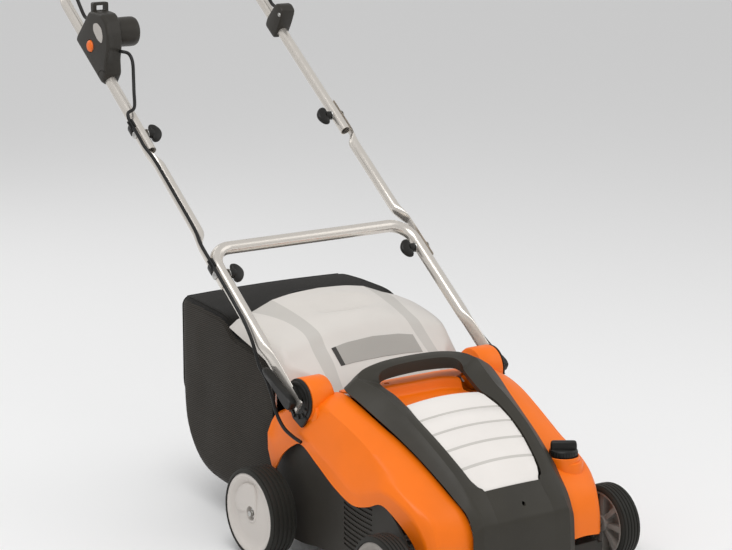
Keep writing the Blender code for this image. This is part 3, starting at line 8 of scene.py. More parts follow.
import bmesh
import bpy
import numpy as np
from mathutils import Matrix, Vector


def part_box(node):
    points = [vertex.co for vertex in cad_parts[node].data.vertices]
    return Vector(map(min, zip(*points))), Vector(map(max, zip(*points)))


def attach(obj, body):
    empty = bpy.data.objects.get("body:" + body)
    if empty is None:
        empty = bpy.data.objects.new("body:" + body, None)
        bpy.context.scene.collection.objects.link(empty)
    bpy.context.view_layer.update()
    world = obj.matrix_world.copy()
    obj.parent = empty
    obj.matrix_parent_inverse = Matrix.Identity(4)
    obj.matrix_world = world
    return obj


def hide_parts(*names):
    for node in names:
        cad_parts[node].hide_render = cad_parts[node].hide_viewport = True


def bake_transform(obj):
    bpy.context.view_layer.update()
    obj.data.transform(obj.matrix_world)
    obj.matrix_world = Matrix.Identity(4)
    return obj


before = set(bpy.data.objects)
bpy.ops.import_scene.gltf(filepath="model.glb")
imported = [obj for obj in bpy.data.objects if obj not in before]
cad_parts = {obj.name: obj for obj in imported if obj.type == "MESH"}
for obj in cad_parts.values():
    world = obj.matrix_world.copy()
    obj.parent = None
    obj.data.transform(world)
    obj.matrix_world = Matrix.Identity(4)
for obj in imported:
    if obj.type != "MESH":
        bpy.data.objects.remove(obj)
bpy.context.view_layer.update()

AXLE_LOW, AXLE_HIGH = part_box("rear_axle")
OFFSET = Vector((0.0, (AXLE_LOW.y + AXLE_HIGH.y) / 2, 0.0))


def mm(value):
    """Metres from millimetres, in a number or in rows of numbers."""
    if isinstance(value, (list, tuple)):
        return type(value)(mm(v) for v in value)
    return round(value / 1000, 7)


# ---- driving dimensions, metres ----
REAR_WHEEL_R, REAR_WHEEL_IN, REAR_WHEEL_OUT, REAR_BORE = 0.0865, 0.2345, 0.289, 0.077
FRONT_WHEEL_R, FRONT_WHEEL_IN, FRONT_WHEEL_OUT, FRONT_BORE = 0.0725, 0.23, 0.2735, 0.062
WHEEL_BASE = 0.381
HANDLE_TILT = math.radians(37.5)
PIVOT_Y, PIVOT_Z = -0.071, 0.309
LEG_X, LEG_R, TUBE_R, TUBE_WALL = 0.23, 0.0125, 0.011, 0.0015
LOWER_KNOB_S, UPPER_KNOB_S = 0.3115, 0.6865
CROSSBAR_S, CROSSBAR_BEND = 0.374, 0.045
SADDLE_LOW_S, SADDLE_HIGH_S, UPPER_END_S = 0.282, 0.722, 0.64
GRIP_S, GRIP_BEND = 1.12, 0.06
SHELL_R_LOW, SHELL_R_HIGH, SHELL_GAP = 0.016, 0.0145, 0.0003
BOSS_R, BOSS_IN, BOSS_OUT = 0.041, 0.168, 0.2185
DIAL_X, DIAL_Y, DIAL_FLOOR, DIAL_R = 0.156, -0.3665, 0.2105, 0.0255
BAIL_S, BAIL_LIFT, BAIL_X, BAIL_R = 0.957, 0.043, 0.225, 0.0036
SHROUD_Y, SHROUD_Z, SHROUD_R = 0.624, 0.912, 0.03
BUTTON_Y, BUTTON_Z = 0.641, 0.886
KNOB_LEAN, LEVER_DROP, DIAL_TURN = math.radians(35), math.radians(8), math.radians(-35)
# Depth from the tube, half length and half thickness of a wing knob.
KNOB_SECTIONS = mm([
    (7.2, 15, 4.6), (8, 16.8, 5.8), (9.5, 18.4, 6.4), (12, 19.2, 6.7), (15, 19.1, 6.6), (18, 18.6, 6.4),
    (21, 17.2, 6.1), (23.5, 15.2, 5.8), (26, 12.6, 5.3), (28, 9.8, 4.8), (29.5, 7, 4.1), (30.5, 4, 3),
])
CABLE_R, CABLE_X, CABLE_LIFT = 0.0034, -0.2495, 0.015
LEAD_UPPER_LONG, LEAD_MIDDLE_LONG, LEAD_LOWER_LONG = 0.233, 0.431, 0.307
ROTOR_Y, ROTOR_Z = -0.19, 0.08
MOTOR_Y, MOTOR_Z, MOTOR_R = -0.328, 0.16, 0.046
DECK_HALF, LOUVRES, LOUVRE_PITCH, LOUVRE_HALF = 0.2005, 11, 0.0096, 0.0023
SHELL_WALL, PANEL_WALL, CLOTH_WALL = 0.003, 0.0025, 0.0012
COWL_TOP_HALF, COWL_FOOT_HALF = 0.14, 0.098
LABEL_HALF, LABEL_START, LABEL_DEPTH, LABEL_PRINT_X = 0.094, -0.0195, 0.0325, -0.084
BAG_MIDDLE_Z = 0.31
TYRE_RIBS = 5
ON_AXIS = 0.0001  # radius at which a profile meets its axis
PLASTIC_GLOSS = 0.3
CAMERA_PLACE, CAMERA_AIM, CAMERA_LENS = (-2.4273, -3.4357, 1.4221), (0.5599, 0.8004, -0.2139), 113.04
SIDES = ((-1, "right"), (1, "left"))

# Rows given to mm() are in millimetres, all other lengths in metres.
# Curves of the shells, one point (x, y, z) per station, on the left half.
INNER_EDGE = mm([
    (169, 38, 262), (169, 18, 270), (169, -10, 284), (168, -45, 300), (162, -80, 316), (160, -125, 324),
    (152, -172, 306), (143, -226, 281), (136, -262, 265), (129, -305, 243), (124, -347, 219),
    (117, -385, 193), (109, -420, 166), (106, -440, 130), (108, -444, 80),
])
SHOULDER = mm([
    (203, 38, 254), (203, 18, 262), (204, -10, 276), (205, -45, 290), (206, -85, 304), (206, -130, 305),
    (205, -180, 292), (201, -229, 272), (199, -265, 254), (197, -311, 230), (196, -352, 209),
    (194, -388, 189), (184, -423, 162), (182, -437, 124), (182, -440, 79),
])
SKIRT_CREASE = mm([
    (220.5, 38, 222), (221, 18, 212), (221.5, -10, 222), (222, -45, 238), (222, -82, 246),
    (222, -128, 229), (222, -182, 206), (221.5, -236, 182), (218, -277, 186), (214.5, -318, 200),
    (209, -362, 190), (202, -399, 166), (196, -419, 135), (194, -427, 110), (193, -430, 78),
])
SKIRT_LIP = mm([
    (220, 38, 190), (220.5, 18, 156), (221, -10, 190), (221.5, -45, 216), (221.5, -78, 226.5),
    (221, -128, 201), (220.5, -182, 172), (219.5, -236, 154), (216, -277, 160), (212, -314, 173),
    (206, -350, 155), (198, -380, 127), (193, -394, 105), (191, -400, 92), (190, -404, 78),
])
HOOD_EDGE = mm([
    (164, -134, 333), (159, -172, 318), (151, -213, 298), (143, -258, 277), (134, -318, 246),
    (125, -375, 211), (119, -403, 190), (113, -431, 168), (112, -446, 142), (113, -451, 118),
    (116, -453, 30),
])
HOOD_RIDGE = mm([
    (134, -138, 348), (121, -180, 337), (117, -213, 321.5), (115, -256, 302.5), (111, -319, 268.5),
    (104, -375, 231), (100, -404, 206.5), (97, -425, 187), (94, -450, 158), (96, -459, 131),
    (98, -462, 30),
])
# Grip arch from the middle out: rear edge, ridge, front edge and foot.
HOOD_ARCH = mm([
    ((0, -101, 348.5), (0, -111, 370), (0, -132, 364), (0, -130, 344)),
    ((58, -101.2, 347), (56, -111.2, 368.3), (52, -132.5, 362), (52, -130.5, 342)),
    ((100, -103, 343.5), (94, -113, 363.5), (80, -134, 357), (80, -133, 339)),
    ((130, -109, 339.5), (118, -118, 358), (91.5, -138, 350), (91.5, -137, 334)),
    ((152, -119, 335.5), (131, -127, 352), (95, -144, 342), (95, -143, 329)),
])
HOOD_INNER = mm([
    (94, -150, 334), (88, -182, 323), (86, -213, 310), (92, -256, 297), (89, -322, 265), (81, -374, 230),
    (74, -403, 206), (62, -415, 197), (62, -449, 158), (62, -459, 132), (62, -463, 30),
])
FLAP_STATIONS = mm([
    # y and z of the middle, then (x, z drop) of the band edges, shoulder and side
    (-64, 302, 112, 2, 136, 4, 152, 6, 158, 16), (-52, 315, 112, 4, 136, 7, 152, 13, 160, 30),
    (-36, 332, 110, 5, 134, 9, 154, 16, 163, 44), (-10, 356, 105, 6, 132, 12, 157, 20, 166.5, 52),
    (18, 385, 103, 13, 131, 18, 184, 36, 202, 72), (40, 406, 100, 14, 129, 19, 188, 36, 205, 72),
    (66, 419, 100, 16, 128, 21, 190, 38, 207, 68), (106, 431, 102, 17, 134, 23, 190, 40, 209, 64),
    (150, 437, 105, 14, 145, 24, 190, 39, 210.5, 56), (197, 440, 107, 10, 154, 28, 186, 38, 206, 49),
])
# Rows of the motor cover: y, half width and height of the edge.
COVER_ROWS = mm([
    (-209.5, 81.5, 308.5), (-222, 84.5, 306.5), (-258, 89.5, 293.5), (-260.5, 89.5, 290.5),
    (-263, 89.5, 291.5), (-296, 89, 276.5), (-298.5, 89, 273.5), (-301, 88.5, 274), (-333, 85.5, 255.5),
    (-335.5, 85.2, 252.5), (-338, 85, 252.5), (-369, 80, 230.5), (-371.5, 79.5, 227.5), (-374, 79, 227),
    (-392, 74, 212.5), (-402, 68.5, 204.5), (-407.5, 63.5, 200), (-412.5, 60, 197), (-416.5, 56, 190),
])
# Rows of the cover's grooves, and the half width of the darker grey painted along each groove as shade.
COVER_GROOVES, GROOVE_SHADE_HALF = (3, 6, 9, 12), 0.0016
# Rows (y, z) of the cowl below the carry grip, from its rear to its front.
COWL_ROWS = mm([
    (-80, 320.5), (-98, 322.5), (-114, 322), (-121.5, 318.5), (-125.5, 310), (-128.5, 303),
    (-134, 299.5), (-150, 299), (-185, 298.5), (-214, 297),
])


# ---- materials ----
def linear(rgb):
    """Linear colour from sRGB values of 0 to 255."""
    shares = [value / 255 for value in rgb]
    return tuple(((c + 0.055) / 1.055) ** 2.4 if c > 0.04045 else c / 12.92 for c in shares) + (1.0,)


def new_material(name, rough, metallic=0.0):
    mat = bpy.data.materials.new(name)
    mat.use_nodes = True
    nodes, links = mat.node_tree.nodes, mat.node_tree.links
    shader = nodes["Principled BSDF"]
    shader.inputs["Roughness"].default_value = rough
    shader.inputs["Metallic"].default_value = metallic
    return mat, nodes, links, shader


def noise(nodes, links, scale, detail=3.0):
    coords = nodes.new("ShaderNodeTexCoord")
    texture = nodes.new("ShaderNodeTexNoise")
    texture.inputs["Scale"].default_value = scale
    texture.inputs["Detail"].default_value = detail
    links.new(coords.outputs["Object"], texture.inputs["Vector"])
    return texture.outputs["Fac"]


def ramp(nodes, links, source, low, high, a, b):
    """Colour that runs from a to b while the source runs from low to high."""
    found = nodes.new("ShaderNodeValToRGB")
    found.color_ramp.elements[0].position = low
    found.color_ramp.elements[0].color = a
    found.color_ramp.elements[1].position = high
    found.color_ramp.elements[1].color = b
    links.new(source, found.inputs["Fac"])
    return found.outputs["Color"]


def bump(nodes, links, shader, height, strength, distance):
    node = nodes.new("ShaderNodeBump")
    node.inputs["Strength"].default_value = strength
    node.inputs["Distance"].default_value = distance
    links.new(height, node.inputs["Height"])
    links.new(node.outputs["Normal"], shader.inputs["Normal"])


def shade_of(colour, factor):
    return tuple(min(c * factor, 1.0) for c in colour[:3]) + (1.0,)


def mottle(nodes, links, shader, rgb, scale, spread):
    """Base colour that drifts a little to both sides of the given one."""
    base = linear(rgb)
    cloud = noise(nodes, links, scale)
    colours = ramp(nodes, links, cloud, 0.3, 0.7, shade_of(base, 1 - spread), shade_of(base, 1 + spread))
    links.new(colours, shader.inputs["Base Color"])


def wander(nodes, links, shader, rough, more, scale):
    """Roughness that wanders from a little less than the given one to so much more."""
    span = nodes.new("ShaderNodeMapRange")
    span.inputs["To Min"].default_value = rough - 0.05
    span.inputs["To Max"].default_value = rough + more
    links.new(noise(nodes, links, scale), span.inputs["Value"])
    links.new(span.outputs["Result"], shader.inputs["Roughness"])


def plastic(name, rgb, rough, grain, depth, spread, coat=0.0):
    """Moulded plastic: faint mottling, fine grain and a roughness that wanders a little."""
    mat, nodes, links, shader = new_material(name, rough)
    mottle(nodes, links, shader, rgb, 14.0, spread)
    wander(nodes, links, shader, rough, 0.07, 45.0)
    shader.inputs["Coat Weight"].default_value = coat
    shader.inputs["Coat Roughness"].default_value = 0.25
    shader.inputs["Specular IOR Level"].default_value = PLASTIC_GLOSS
    bump(nodes, links, shader, noise(nodes, links, grain, 2.0), 0.35, depth)
    return mat


def metal(name, rgb, rough, grain=300.0, spread=0.05, metallic=1.0, depth=0.00008):
    mat, nodes, links, shader = new_material(name, rough, metallic)
    mottle(nodes, links, shader, rgb, 30.0, spread)
    wander(nodes, links, shader, rough, 0.08, grain)
    bump(nodes, links, shader, noise(nodes, links, grain * 3, 2.0), 0.15, depth)
    return mat


def woven(name, rgb, pitch=0.0052, lift=2.9):
    """Woven cloth: rows of small raised dots on two slanting directions."""
    mat, nodes, links, shader = new_material(name, 0.85)
    coords = nodes.new("ShaderNodeTexCoord")
    waves = []
    for direction in ((1.0, 1.0, 1.0), (0.35, -1.0, 0.9)):
        dot = nodes.new("ShaderNodeVectorMath")
        dot.operation = "DOT_PRODUCT"
        dot.inputs[1].default_value = [2 * math.pi / pitch * d / math.sqrt(2) for d in direction]
        links.new(coords.outputs["Object"], dot.inputs[0])
        wave = nodes.new("ShaderNodeMath")
        wave.operation = "SINE"
        links.new(dot.outputs["Value"], wave.inputs[0])
        waves.append(wave.outputs["Value"])
    product = nodes.new("ShaderNodeMath")
    product.operation = "MULTIPLY"
    links.new(waves[0], product.inputs[0])
    links.new(waves[1], product.inputs[1])
    height = nodes.new("ShaderNodeMapRange")
    height.inputs["From Min"].default_value = -1.0
    links.new(product.outputs["Value"], height.inputs["Value"])
    base = linear(rgb)
    dots = ramp(nodes, links, height.outputs["Result"], 0.36, 0.62, shade_of(base, 0.5), shade_of(base, lift))
    cloud = ramp(nodes, links, noise(nodes, links, 9.0), 0.3, 0.7, (0.86, 0.86, 0.86, 1), (1.0, 1.0, 1.0, 1))
    mix = nodes.new("ShaderNodeMix")
    mix.data_type = "RGBA"
    mix.blend_type = "MULTIPLY"
    mix.inputs["Factor"].default_value = 1.0
    links.new(dots, mix.inputs["A"])
    links.new(cloud, mix.inputs["B"])
    links.new(mix.outputs["Result"], shader.inputs["Base Color"])
    shader.inputs["Sheen Weight"].default_value = 0.05
    shader.inputs["Specular IOR Level"].default_value = 0.2
    shader.inputs["Sheen Roughness"].default_value = 0.5
    bump(nodes, links, shader, height.outputs["Result"], 0.5, 0.0005)
    return mat


def make_materials():
    return {
        "orange": plastic("orange_plastic", (250, 119, 10), 0.4, 500.0, 0.00006, 0.03, 0.06),
        "hood": plastic("hood_plastic", (53, 50, 43), 0.44, 1400.0, 0.0002, 0.08),
        "deck": plastic("deck_plastic", (52, 49, 44), 0.48, 1400.0, 0.0002, 0.08),
        "panel": plastic("panel_plastic", (236, 231, 226), 0.38, 500.0, 0.00005, 0.02, 0.15),
        # Painted shade: a darker grey for the faces along the cover's grooves.
        "groove": plastic("groove_painted_shade", (204, 200, 194), 0.5, 500.0, 0.00005, 0.02),
        "flap": plastic("flap_plastic", (216, 211, 205), 0.4, 500.0, 0.00005, 0.02, 0.15),
        "band": plastic("band_plastic", (197, 193, 187), 0.45, 500.0, 0.00005, 0.02),
        "label": plastic("label_film", (170, 166, 160), 0.5, 500.0, 0.00004, 0.02),
        "label_dark": plastic("label_print", (62, 60, 57), 0.55, 500.0, 0.00004, 0.02),
        "cloth": woven("bag_cloth", (38, 35, 31)),
        "cloth_top": woven("bag_top_cloth", (34, 32, 29), 0.0022, 1.3),
        "binding": woven("bag_binding", (26, 25, 24), 0.0012, 1.3),
        "tube": metal("tube_coat", (222, 216, 208), 0.22, 60.0, 0.012, 0.72, 0.00001),
        "steel": metal("zinc_steel", (190, 189, 186), 0.3),
        "black": plastic("black_plastic", (28, 27, 25), 0.36, 900.0, 0.00012, 0.08),
        "switch": plastic("switch_plastic", (48, 45, 40), 0.4, 1400.0, 0.00018, 0.06),
        "cable": plastic("cable_jacket", (24, 24, 23), 0.42, 1600.0, 0.0001, 0.08),
        "rod": plastic("rod_coat", (30, 29, 28), 0.38, 1200.0, 0.00008, 0.06),
        "tyre": plastic("tyre_rubber", (38, 37, 33), 0.6, 700.0, 0.00022, 0.1),
        "rear_rim": plastic("rear_rim_plastic", (205, 199, 193), 0.42, 500.0, 0.00006, 0.02),
        "front_rim": plastic("front_rim_plastic", (146, 141, 135), 0.45, 700.0, 0.0001, 0.04),
        "cap": plastic("cap_plastic", (222, 217, 212), 0.4, 500.0, 0.00005, 0.02),
        "button": plastic("button_plastic", (240, 112, 30), 0.35, 500.0, 0.00005, 0.02, 0.2),
        "decal": plastic("decal_film", (186, 181, 175), 0.45, 500.0, 0.00004, 0.03),
        "inner": plastic("inner_nylon", (80, 79, 77), 0.5, 700.0, 0.00012, 0.05),
        "motor": metal("motor_case", (150, 149, 146), 0.42),
    }


MATS = make_materials()
CUT_SMOOTH = 35.0


# ---- mesh helpers ----
def mesh_object(name, shape, material, smooth=40.0):
    """A mesh object from a shape (points, faces) in the machine frame."""
    points, faces = shape
    mesh = bpy.data.meshes.new(name)
    mesh.from_pydata([tuple(Vector(p) + OFFSET) for p in points], [], [list(f) for f in faces])
    bm = bmesh.new()
    bm.from_mesh(mesh)
    bmesh.ops.remove_doubles(bm, verts=bm.verts, dist=2e-6)
    bmesh.ops.recalc_face_normals(bm, faces=bm.faces)
    bm.to_mesh(mesh)
    bm.free()
    obj = bpy.data.objects.new(name, mesh)
    bpy.context.scene.collection.objects.link(obj)
    obj.data.materials.append(material)
    shade(mesh, smooth)
    return obj


def shade(mesh, smooth):
    """Smooth shading, except at edges sharper than so many degrees."""
    mesh.polygons.foreach_set("use_smooth", [True] * len(mesh.polygons))
    mesh.set_sharp_from_angle(angle=math.radians(smooth))


def piece(name, shape, look, body, stands_for=(), smooth=40.0):
    """A finished mesh that rides on a body, stands for CAD nodes and has its look's material."""
    obj = mesh_object(name, shape, MATS[look], smooth)
    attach(obj, body)
    if stands_for:
        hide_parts(*stands_for)
    return obj


def merge(*shapes):
    """One (points, faces) from several."""
    points, faces = [], []
    for shape_points, shape_faces in shapes:
        base = len(points)
        points += list(shape_points)
        faces += [tuple(base + v for v in f) for f in shape_faces]
    return points, faces


def curve_through(points, steps, closed=False):
    """Points on a smooth curve through the given ones, with so many steps between neighbours."""
    pts = [np.array(p, float) for p in points]
    count = len(pts)
    out = []
    for i in range(count if closed else count - 1):
        if closed:
            a, b, c, d = (pts[(i + k) % count] for k in (-1, 0, 1, 2))
        else:
            b, c = pts[i], pts[i + 1]
            a = pts[i - 1] if i > 0 else 2 * b - c
            d = pts[i + 2] if i + 2 < count else 2 * c - b
        for k in range(steps):
            t = k / steps
            out.append(0.5 * (2 * b + (c - a) * t + (2 * a - 5 * b + 4 * c - d) * t * t
                              + (3 * b - a - 3 * c + d) * t ** 3))
    if not closed:
        out.append(pts[-1])
    return [tuple(p) for p in out]


def refine(columns, along, across, creases=()):
    """Fills a grid of columns with smooth curves; the surface may bend sharply at a crease column."""
    fine = [curve_through(column, along) for column in columns]
    stops = [0] + sorted(creases) + [len(fine) - 1]
    rows = []
    for r in range(len(fine[0])):
        row = []
        for a, b in zip(stops[:-1], stops[1:]):
            part = curve_through([fine[c][r] for c in range(a, b + 1)], across)
            row += part if b == stops[-1] else part[:-1]
        rows.append(row)
    return [[row[c] for row in rows] for c in range(len(rows[0]))]


def grid(columns):
    rows = len(columns[0])
    return [p for column in columns for p in column], [
        (c * rows + r, c * rows + r + 1, (c + 1) * rows + r + 1, (c + 1) * rows + r)
        for c in range(len(columns) - 1)
        for r in range(rows - 1)
    ]


def mirrored(points, faces):
    out, index = [tuple(p) for p in points], {}
    for i, (x, y, z) in enumerate(list(out)):
        index[i] = i if abs(x) < 1e-7 else len(out)
        if abs(x) >= 1e-7:
            out.append((-x, y, z))
    return out, list(faces) + [tuple(index[v] for v in reversed(f)) for f in faces]


def thick(points, faces, wall):
    """A closed shell: the open surface, a copy the wall below it and the rims between them."""
    pts = np.array(points, float)
    normals = np.zeros_like(pts)
    for face in faces:
        ring = pts[list(face)]
        area = sum(np.cross(ring[k], ring[(k + 1) % len(face)]) for k in range(len(face)))
        for v in face:
            normals[v] += area
    length = np.linalg.norm(normals, axis=1)
    normals[length > 0] /= length[length > 0][:, None]
    under = pts - normals * wall
    count = len(pts)
    solid = [tuple(f) for f in faces] + [tuple(count + v for v in reversed(f)) for f in faces]
    edges = {(f[k], f[(k + 1) % len(f)]) for f in faces for k in range(len(f))}
    for a, b in sorted(edges):
        if (b, a) not in edges:
            solid.append((b, a, count + a, count + b))
    return list(map(tuple, pts)) + list(map(tuple, under)), solid


def loft(rings, closed_path=False):
    count = len(rings[0])
    last = len(rings) if closed_path else len(rings) - 1
    faces = []
    for i in range(last):
        for j in range(count):
            a, b = i * count + j, i * count + (j + 1) % count
            start = ((i + 1) % len(rings)) * count
            faces.append((a, b, start + (j + 1) % count, start + j))
    if not closed_path:
        faces.append(tuple(range(count)))
        faces.append(tuple(range((len(rings) - 1) * count, len(rings) * count)))
    return [p for ring in rings for p in ring], faces


def second_look(obj, look, chosen):
    """A second material on the faces that are chosen."""
    obj.data.materials.append(MATS[look])
    for face in obj.data.polygons:
        if chosen(face):
            face.material_index = 1


def turn(count):
    """Angles of one full turn in equal steps."""
    return [2 * math.pi * k / count for k in range(count)]


def arc(y, z, radius, first, sweep, steps):
    """Points on an arc, with its angles in degrees."""
    angles = [math.radians(first + sweep * k / steps) for k in range(steps + 1)]
    return [(y + radius * math.cos(a), z + radius * math.sin(a)) for a in angles]


def turned(outline, angle, y=0.0, z=0.0):
    """An outline turned by an angle and moved to (y, z)."""
    c, n = math.cos(angle), math.sin(angle)
    return [(y + u * c - v * n, z + u * n + v * c) for u, v in outline]


def off(radius, face, *rows):
    """Profile rows (radius, position) in millimetres, counted from a radius and a face."""
    return [(radius + r, face + x) for r, x in mm(rows)]


def outward(face, side, *rows):
    """Profile rows (radius, distance outwards) in millimetres, counted from a face on one side."""
    return [(r, face + side * x) for r, x in mm(rows)]


def peg(radius, low, high):
    """Profile of a plain round pin."""
    return [(ON_AXIS, low), (radius, low), (radius, high), (ON_AXIS, high)]


def flipped(points, faces):
    """The same surface, facing the other way."""
    return points, [tuple(reversed(f)) for f in faces]


def lathe(profile, centre, axis="X", segments=64, closed=False):
    """Turns (radius, position) pairs round an axis through the centre."""
    rings = []
    for radius, place in profile:
        ring = []
        for a in turn(segments):
            u, v = radius * math.cos(a), radius * math.sin(a)
            local = {"X": (place, u, v), "Y": (u, place, v), "Z": (u, v, place)}[axis]
            ring.append(tuple(centre[i] + local[i] for i in range(3)))
        rings.append(ring)
    return loft(rings, closed)


def on_side(profile, side):
    return [(r, side * x) for r, x in profile]


def frames_along(path):
    pts = [Vector(p) for p in path]
    tangents = []
    for i in range(len(pts)):
        tangents.append((pts[min(i + 1, len(pts) - 1)] - pts[max(i - 1, 0)]).normalized())
    first = Vector((1, 0, 0)) if abs(tangents[0].x) < 0.8 else Vector((0, 0, 1))
    side = (first - tangents[0] * first.dot(tangents[0])).normalized()
    frames = []
    for t in tangents:
        side = (side - t * side.dot(t)).normalized()
        frames.append((side, t.cross(side)))
    return pts, frames


def ring_round(centre, u, v, count):
    """Points round a centre, with the half axes u and v."""
    return [tuple(Vector(centre) + u * math.cos(a) + v * math.sin(a)) for a in turn(count)]


def rings_along(path, radius, sides):
    pts, frames = frames_along(path)
    return [ring_round(p, side * radius, up * radius, sides) for p, (side, up) in zip(pts, frames)]


def rod(path, radius, sides):
    return loft(rings_along(path, radius, sides))


def pipe_along(path, radius, wall, sides):
    return loft(rings_along(path, radius, sides) + rings_along(path, radius - wall, sides)[::-1], True)


def rounded(outline, radius, steps=4):
    """The outline with each corner turned into a short arc."""
    out = []
    count = len(outline)
    for i in range(count):
        before, here, after = (np.array(outline[(i + k) % count], float) for k in (-1, 0, 1))
        a, b = before - here, after - here
        reach = min(radius, 0.45 * np.linalg.norm(a), 0.45 * np.linalg.norm(b))
        p, q = here + a / np.linalg.norm(a) * reach, here + b / np.linalg.norm(b) * reach
        for k in range(steps + 1):
            t = k / steps
            out.append(tuple((1 - t) ** 2 * p + 2 * t * (1 - t) * here + t * t * q))
    return out


def slab(outline, sections, middle=None):
    """Extrudes a (y, z) outline along X through (x, grow) sections."""
    cy, cz = middle or [sum(p[k] for p in outline) / len(outline) for k in (0, 1)]
    return loft([
        [(x, cy + grow * (y - cy), cz + grow * (z - cz)) for y, z in outline] for x, grow in sections
    ])


def plate(outline, x0, x1):
    return slab(outline, ((x0, 1.0), (x1, 1.0)), (0.0, 0.0))


def brick(low, high):
    (x0, y0, z0), (x1, y1, z1) = low, high
    return loft([[(x, y0, z0), (x, y1, z0), (x, y1, z1), (x, y0, z1)] for x in (x0, x1)])


def on_handle(s, x=0.0, lift=0.0):
    return (
        x,
        PIVOT_Y + s * math.cos(HANDLE_TILT) - lift * math.sin(HANDLE_TILT),
        PIVOT_Z + s * math.sin(HANDLE_TILT) + lift * math.cos(HANDLE_TILT),
    )


def along_handle(*rows):
    """Points from rows (distance up the handle, x, lift above its plane)."""
    return [on_handle(*row) for row in rows]


ALONG = Vector((0, math.cos(HANDLE_TILT), math.sin(HANDLE_TILT)))
LIFT = Vector((0, -math.sin(HANDLE_TILT), math.cos(HANDLE_TILT)))


def handle_bend(s, radius, steps):
    centre = Vector(on_handle(s - radius, LEG_X - radius))
    return [
        tuple(centre + Vector((radius * math.cos(t), 0, 0)) + ALONG * radius * math.sin(t))
        for t in [math.pi / 2 * k / steps for k in range(steps + 1)]
    ]


def cut(obj, *shapes):
    """Cuts closed shapes out of a mesh piece."""
    tool = mesh_object("cutter", merge(*shapes), obj.data.materials[0])
    step = obj.modifiers.new("cut", "BOOLEAN")
    step.operation = "DIFFERENCE"
    step.solver = "EXACT"
    step.use_self = True
    step.object = tool
    graph = bpy.context.evaluated_depsgraph_get()
    mesh = bpy.data.meshes.new_from_object(obj.evaluated_get(graph))
    obj.modifiers.clear()
    obj.data = mesh
    bpy.data.objects.remove(tool, do_unlink=True)
    shade(mesh, CUT_SMOOTH)


def between(a, b, t, bulge=0.0):
    return tuple(a[i] + (b[i] - a[i]) * t + (bulge if i == 2 else 0.0) for i in range(3))


# ---- body ----
def make_housing():
    soft = [between(a, b, 0.5, 0.003) for a, b in zip(INNER_EDGE, SHOULDER)]
    flank = [between(a, b, 0.5, 0.004) for a, b in zip(SHOULDER, SKIRT_CREASE)]
    columns = refine([INNER_EDGE, soft, SHOULDER, flank, SKIRT_CREASE, SKIRT_LIP], 5, 4, (2, 4))
    shell = thick(*mirrored(*grid(columns)), SHELL_WALL)
    piece("housing_shell", shell, "orange", "chassis", ("top_housing",), 50)
    cowl = []
    for k in range(15):
        sweep = max(k / 14 - 0.5, 0.0) / 0.5
        column = []
        for y, z in COWL_ROWS:
            reach = COWL_TOP_HALF if y > -0.1 else COWL_FOOT_HALF
            back = 0.012 * sweep ** 2 * min(1.0, (-y - 0.08) / 0.045)
            column.append((reach * k / 14, y - back, z - 0.004 * sweep ** 2))
        cowl.append(column)
    shell = thick(*mirrored(*grid(refine(cowl, 3, 1))), SHELL_WALL)
    wall = piece("housing_cowl", shell, "orange", "chassis", (), 50)
    cut(wall, lathe(peg(0.0055, 0.27, 0.34), (-0.052, -0.106, 0), "Z", 24))
    for side, suffix in SIDES:
        profile = off(0, BOSS_IN, (0.1, 0)) + off(BOSS_R, BOSS_IN, (-5, 0), (-1.5, 1.5), (0, 5))
        profile += off(BOSS_R, BOSS_OUT, (0, -4), (-1.2, -1.2), (-4, 0))
        profile += off(0, BOSS_OUT, (30, 0), (4.5, 0), (4.5, -40), (0.1, -40))
        piece("boss_" + suffix, lathe(on_side(profile, side), (0, PIVOT_Y, PIVOT_Z)), "orange", "chassis")
        fairing = mm([(-45, 318), (-36, 290), (-50, 262), (-92, 262), (-120, 285), (-112, 306)])
        sections = ((0.17, 1.0), (0.208, 1.0), (0.213, 0.96), (0.2145, 0.88))
        shape = slab(rounded(fairing, 0.012), [(side * x, grow) for x, grow in sections])
        piece("boss_foot_" + suffix, shape, "orange", "chassis")
    ring = off(DIAL_R, 0, (1.2, 195)) + off(DIAL_R, DIAL_FLOOR, (1.2, 2.2), (2.2, 3), (3.6, 1.8))
    ring += off(DIAL_R, 0, (5.5, 185), (4, 180))
    piece("dial_collar", lathe(ring, (DIAL_X, DIAL_Y, 0), "Z", 64, True), "orange", "chassis")
    skirt = mm([(0.1, 165), (32, 165), (31.2, 198), (30.4, 203), (28.5, 204.5), (0.1, 204.5)])
    piece("dial_skirt", lathe(skirt, (DIAL_X + 0.005, DIAL_Y - 0.002, 0), "Z", 64), "orange", "chassis")


def both_ways(curve):
    """A curve that starts on the middle plane, carried on to the other side."""
    return [(-x, y, z) for x, y, z in curve[:0:-1]] + curve


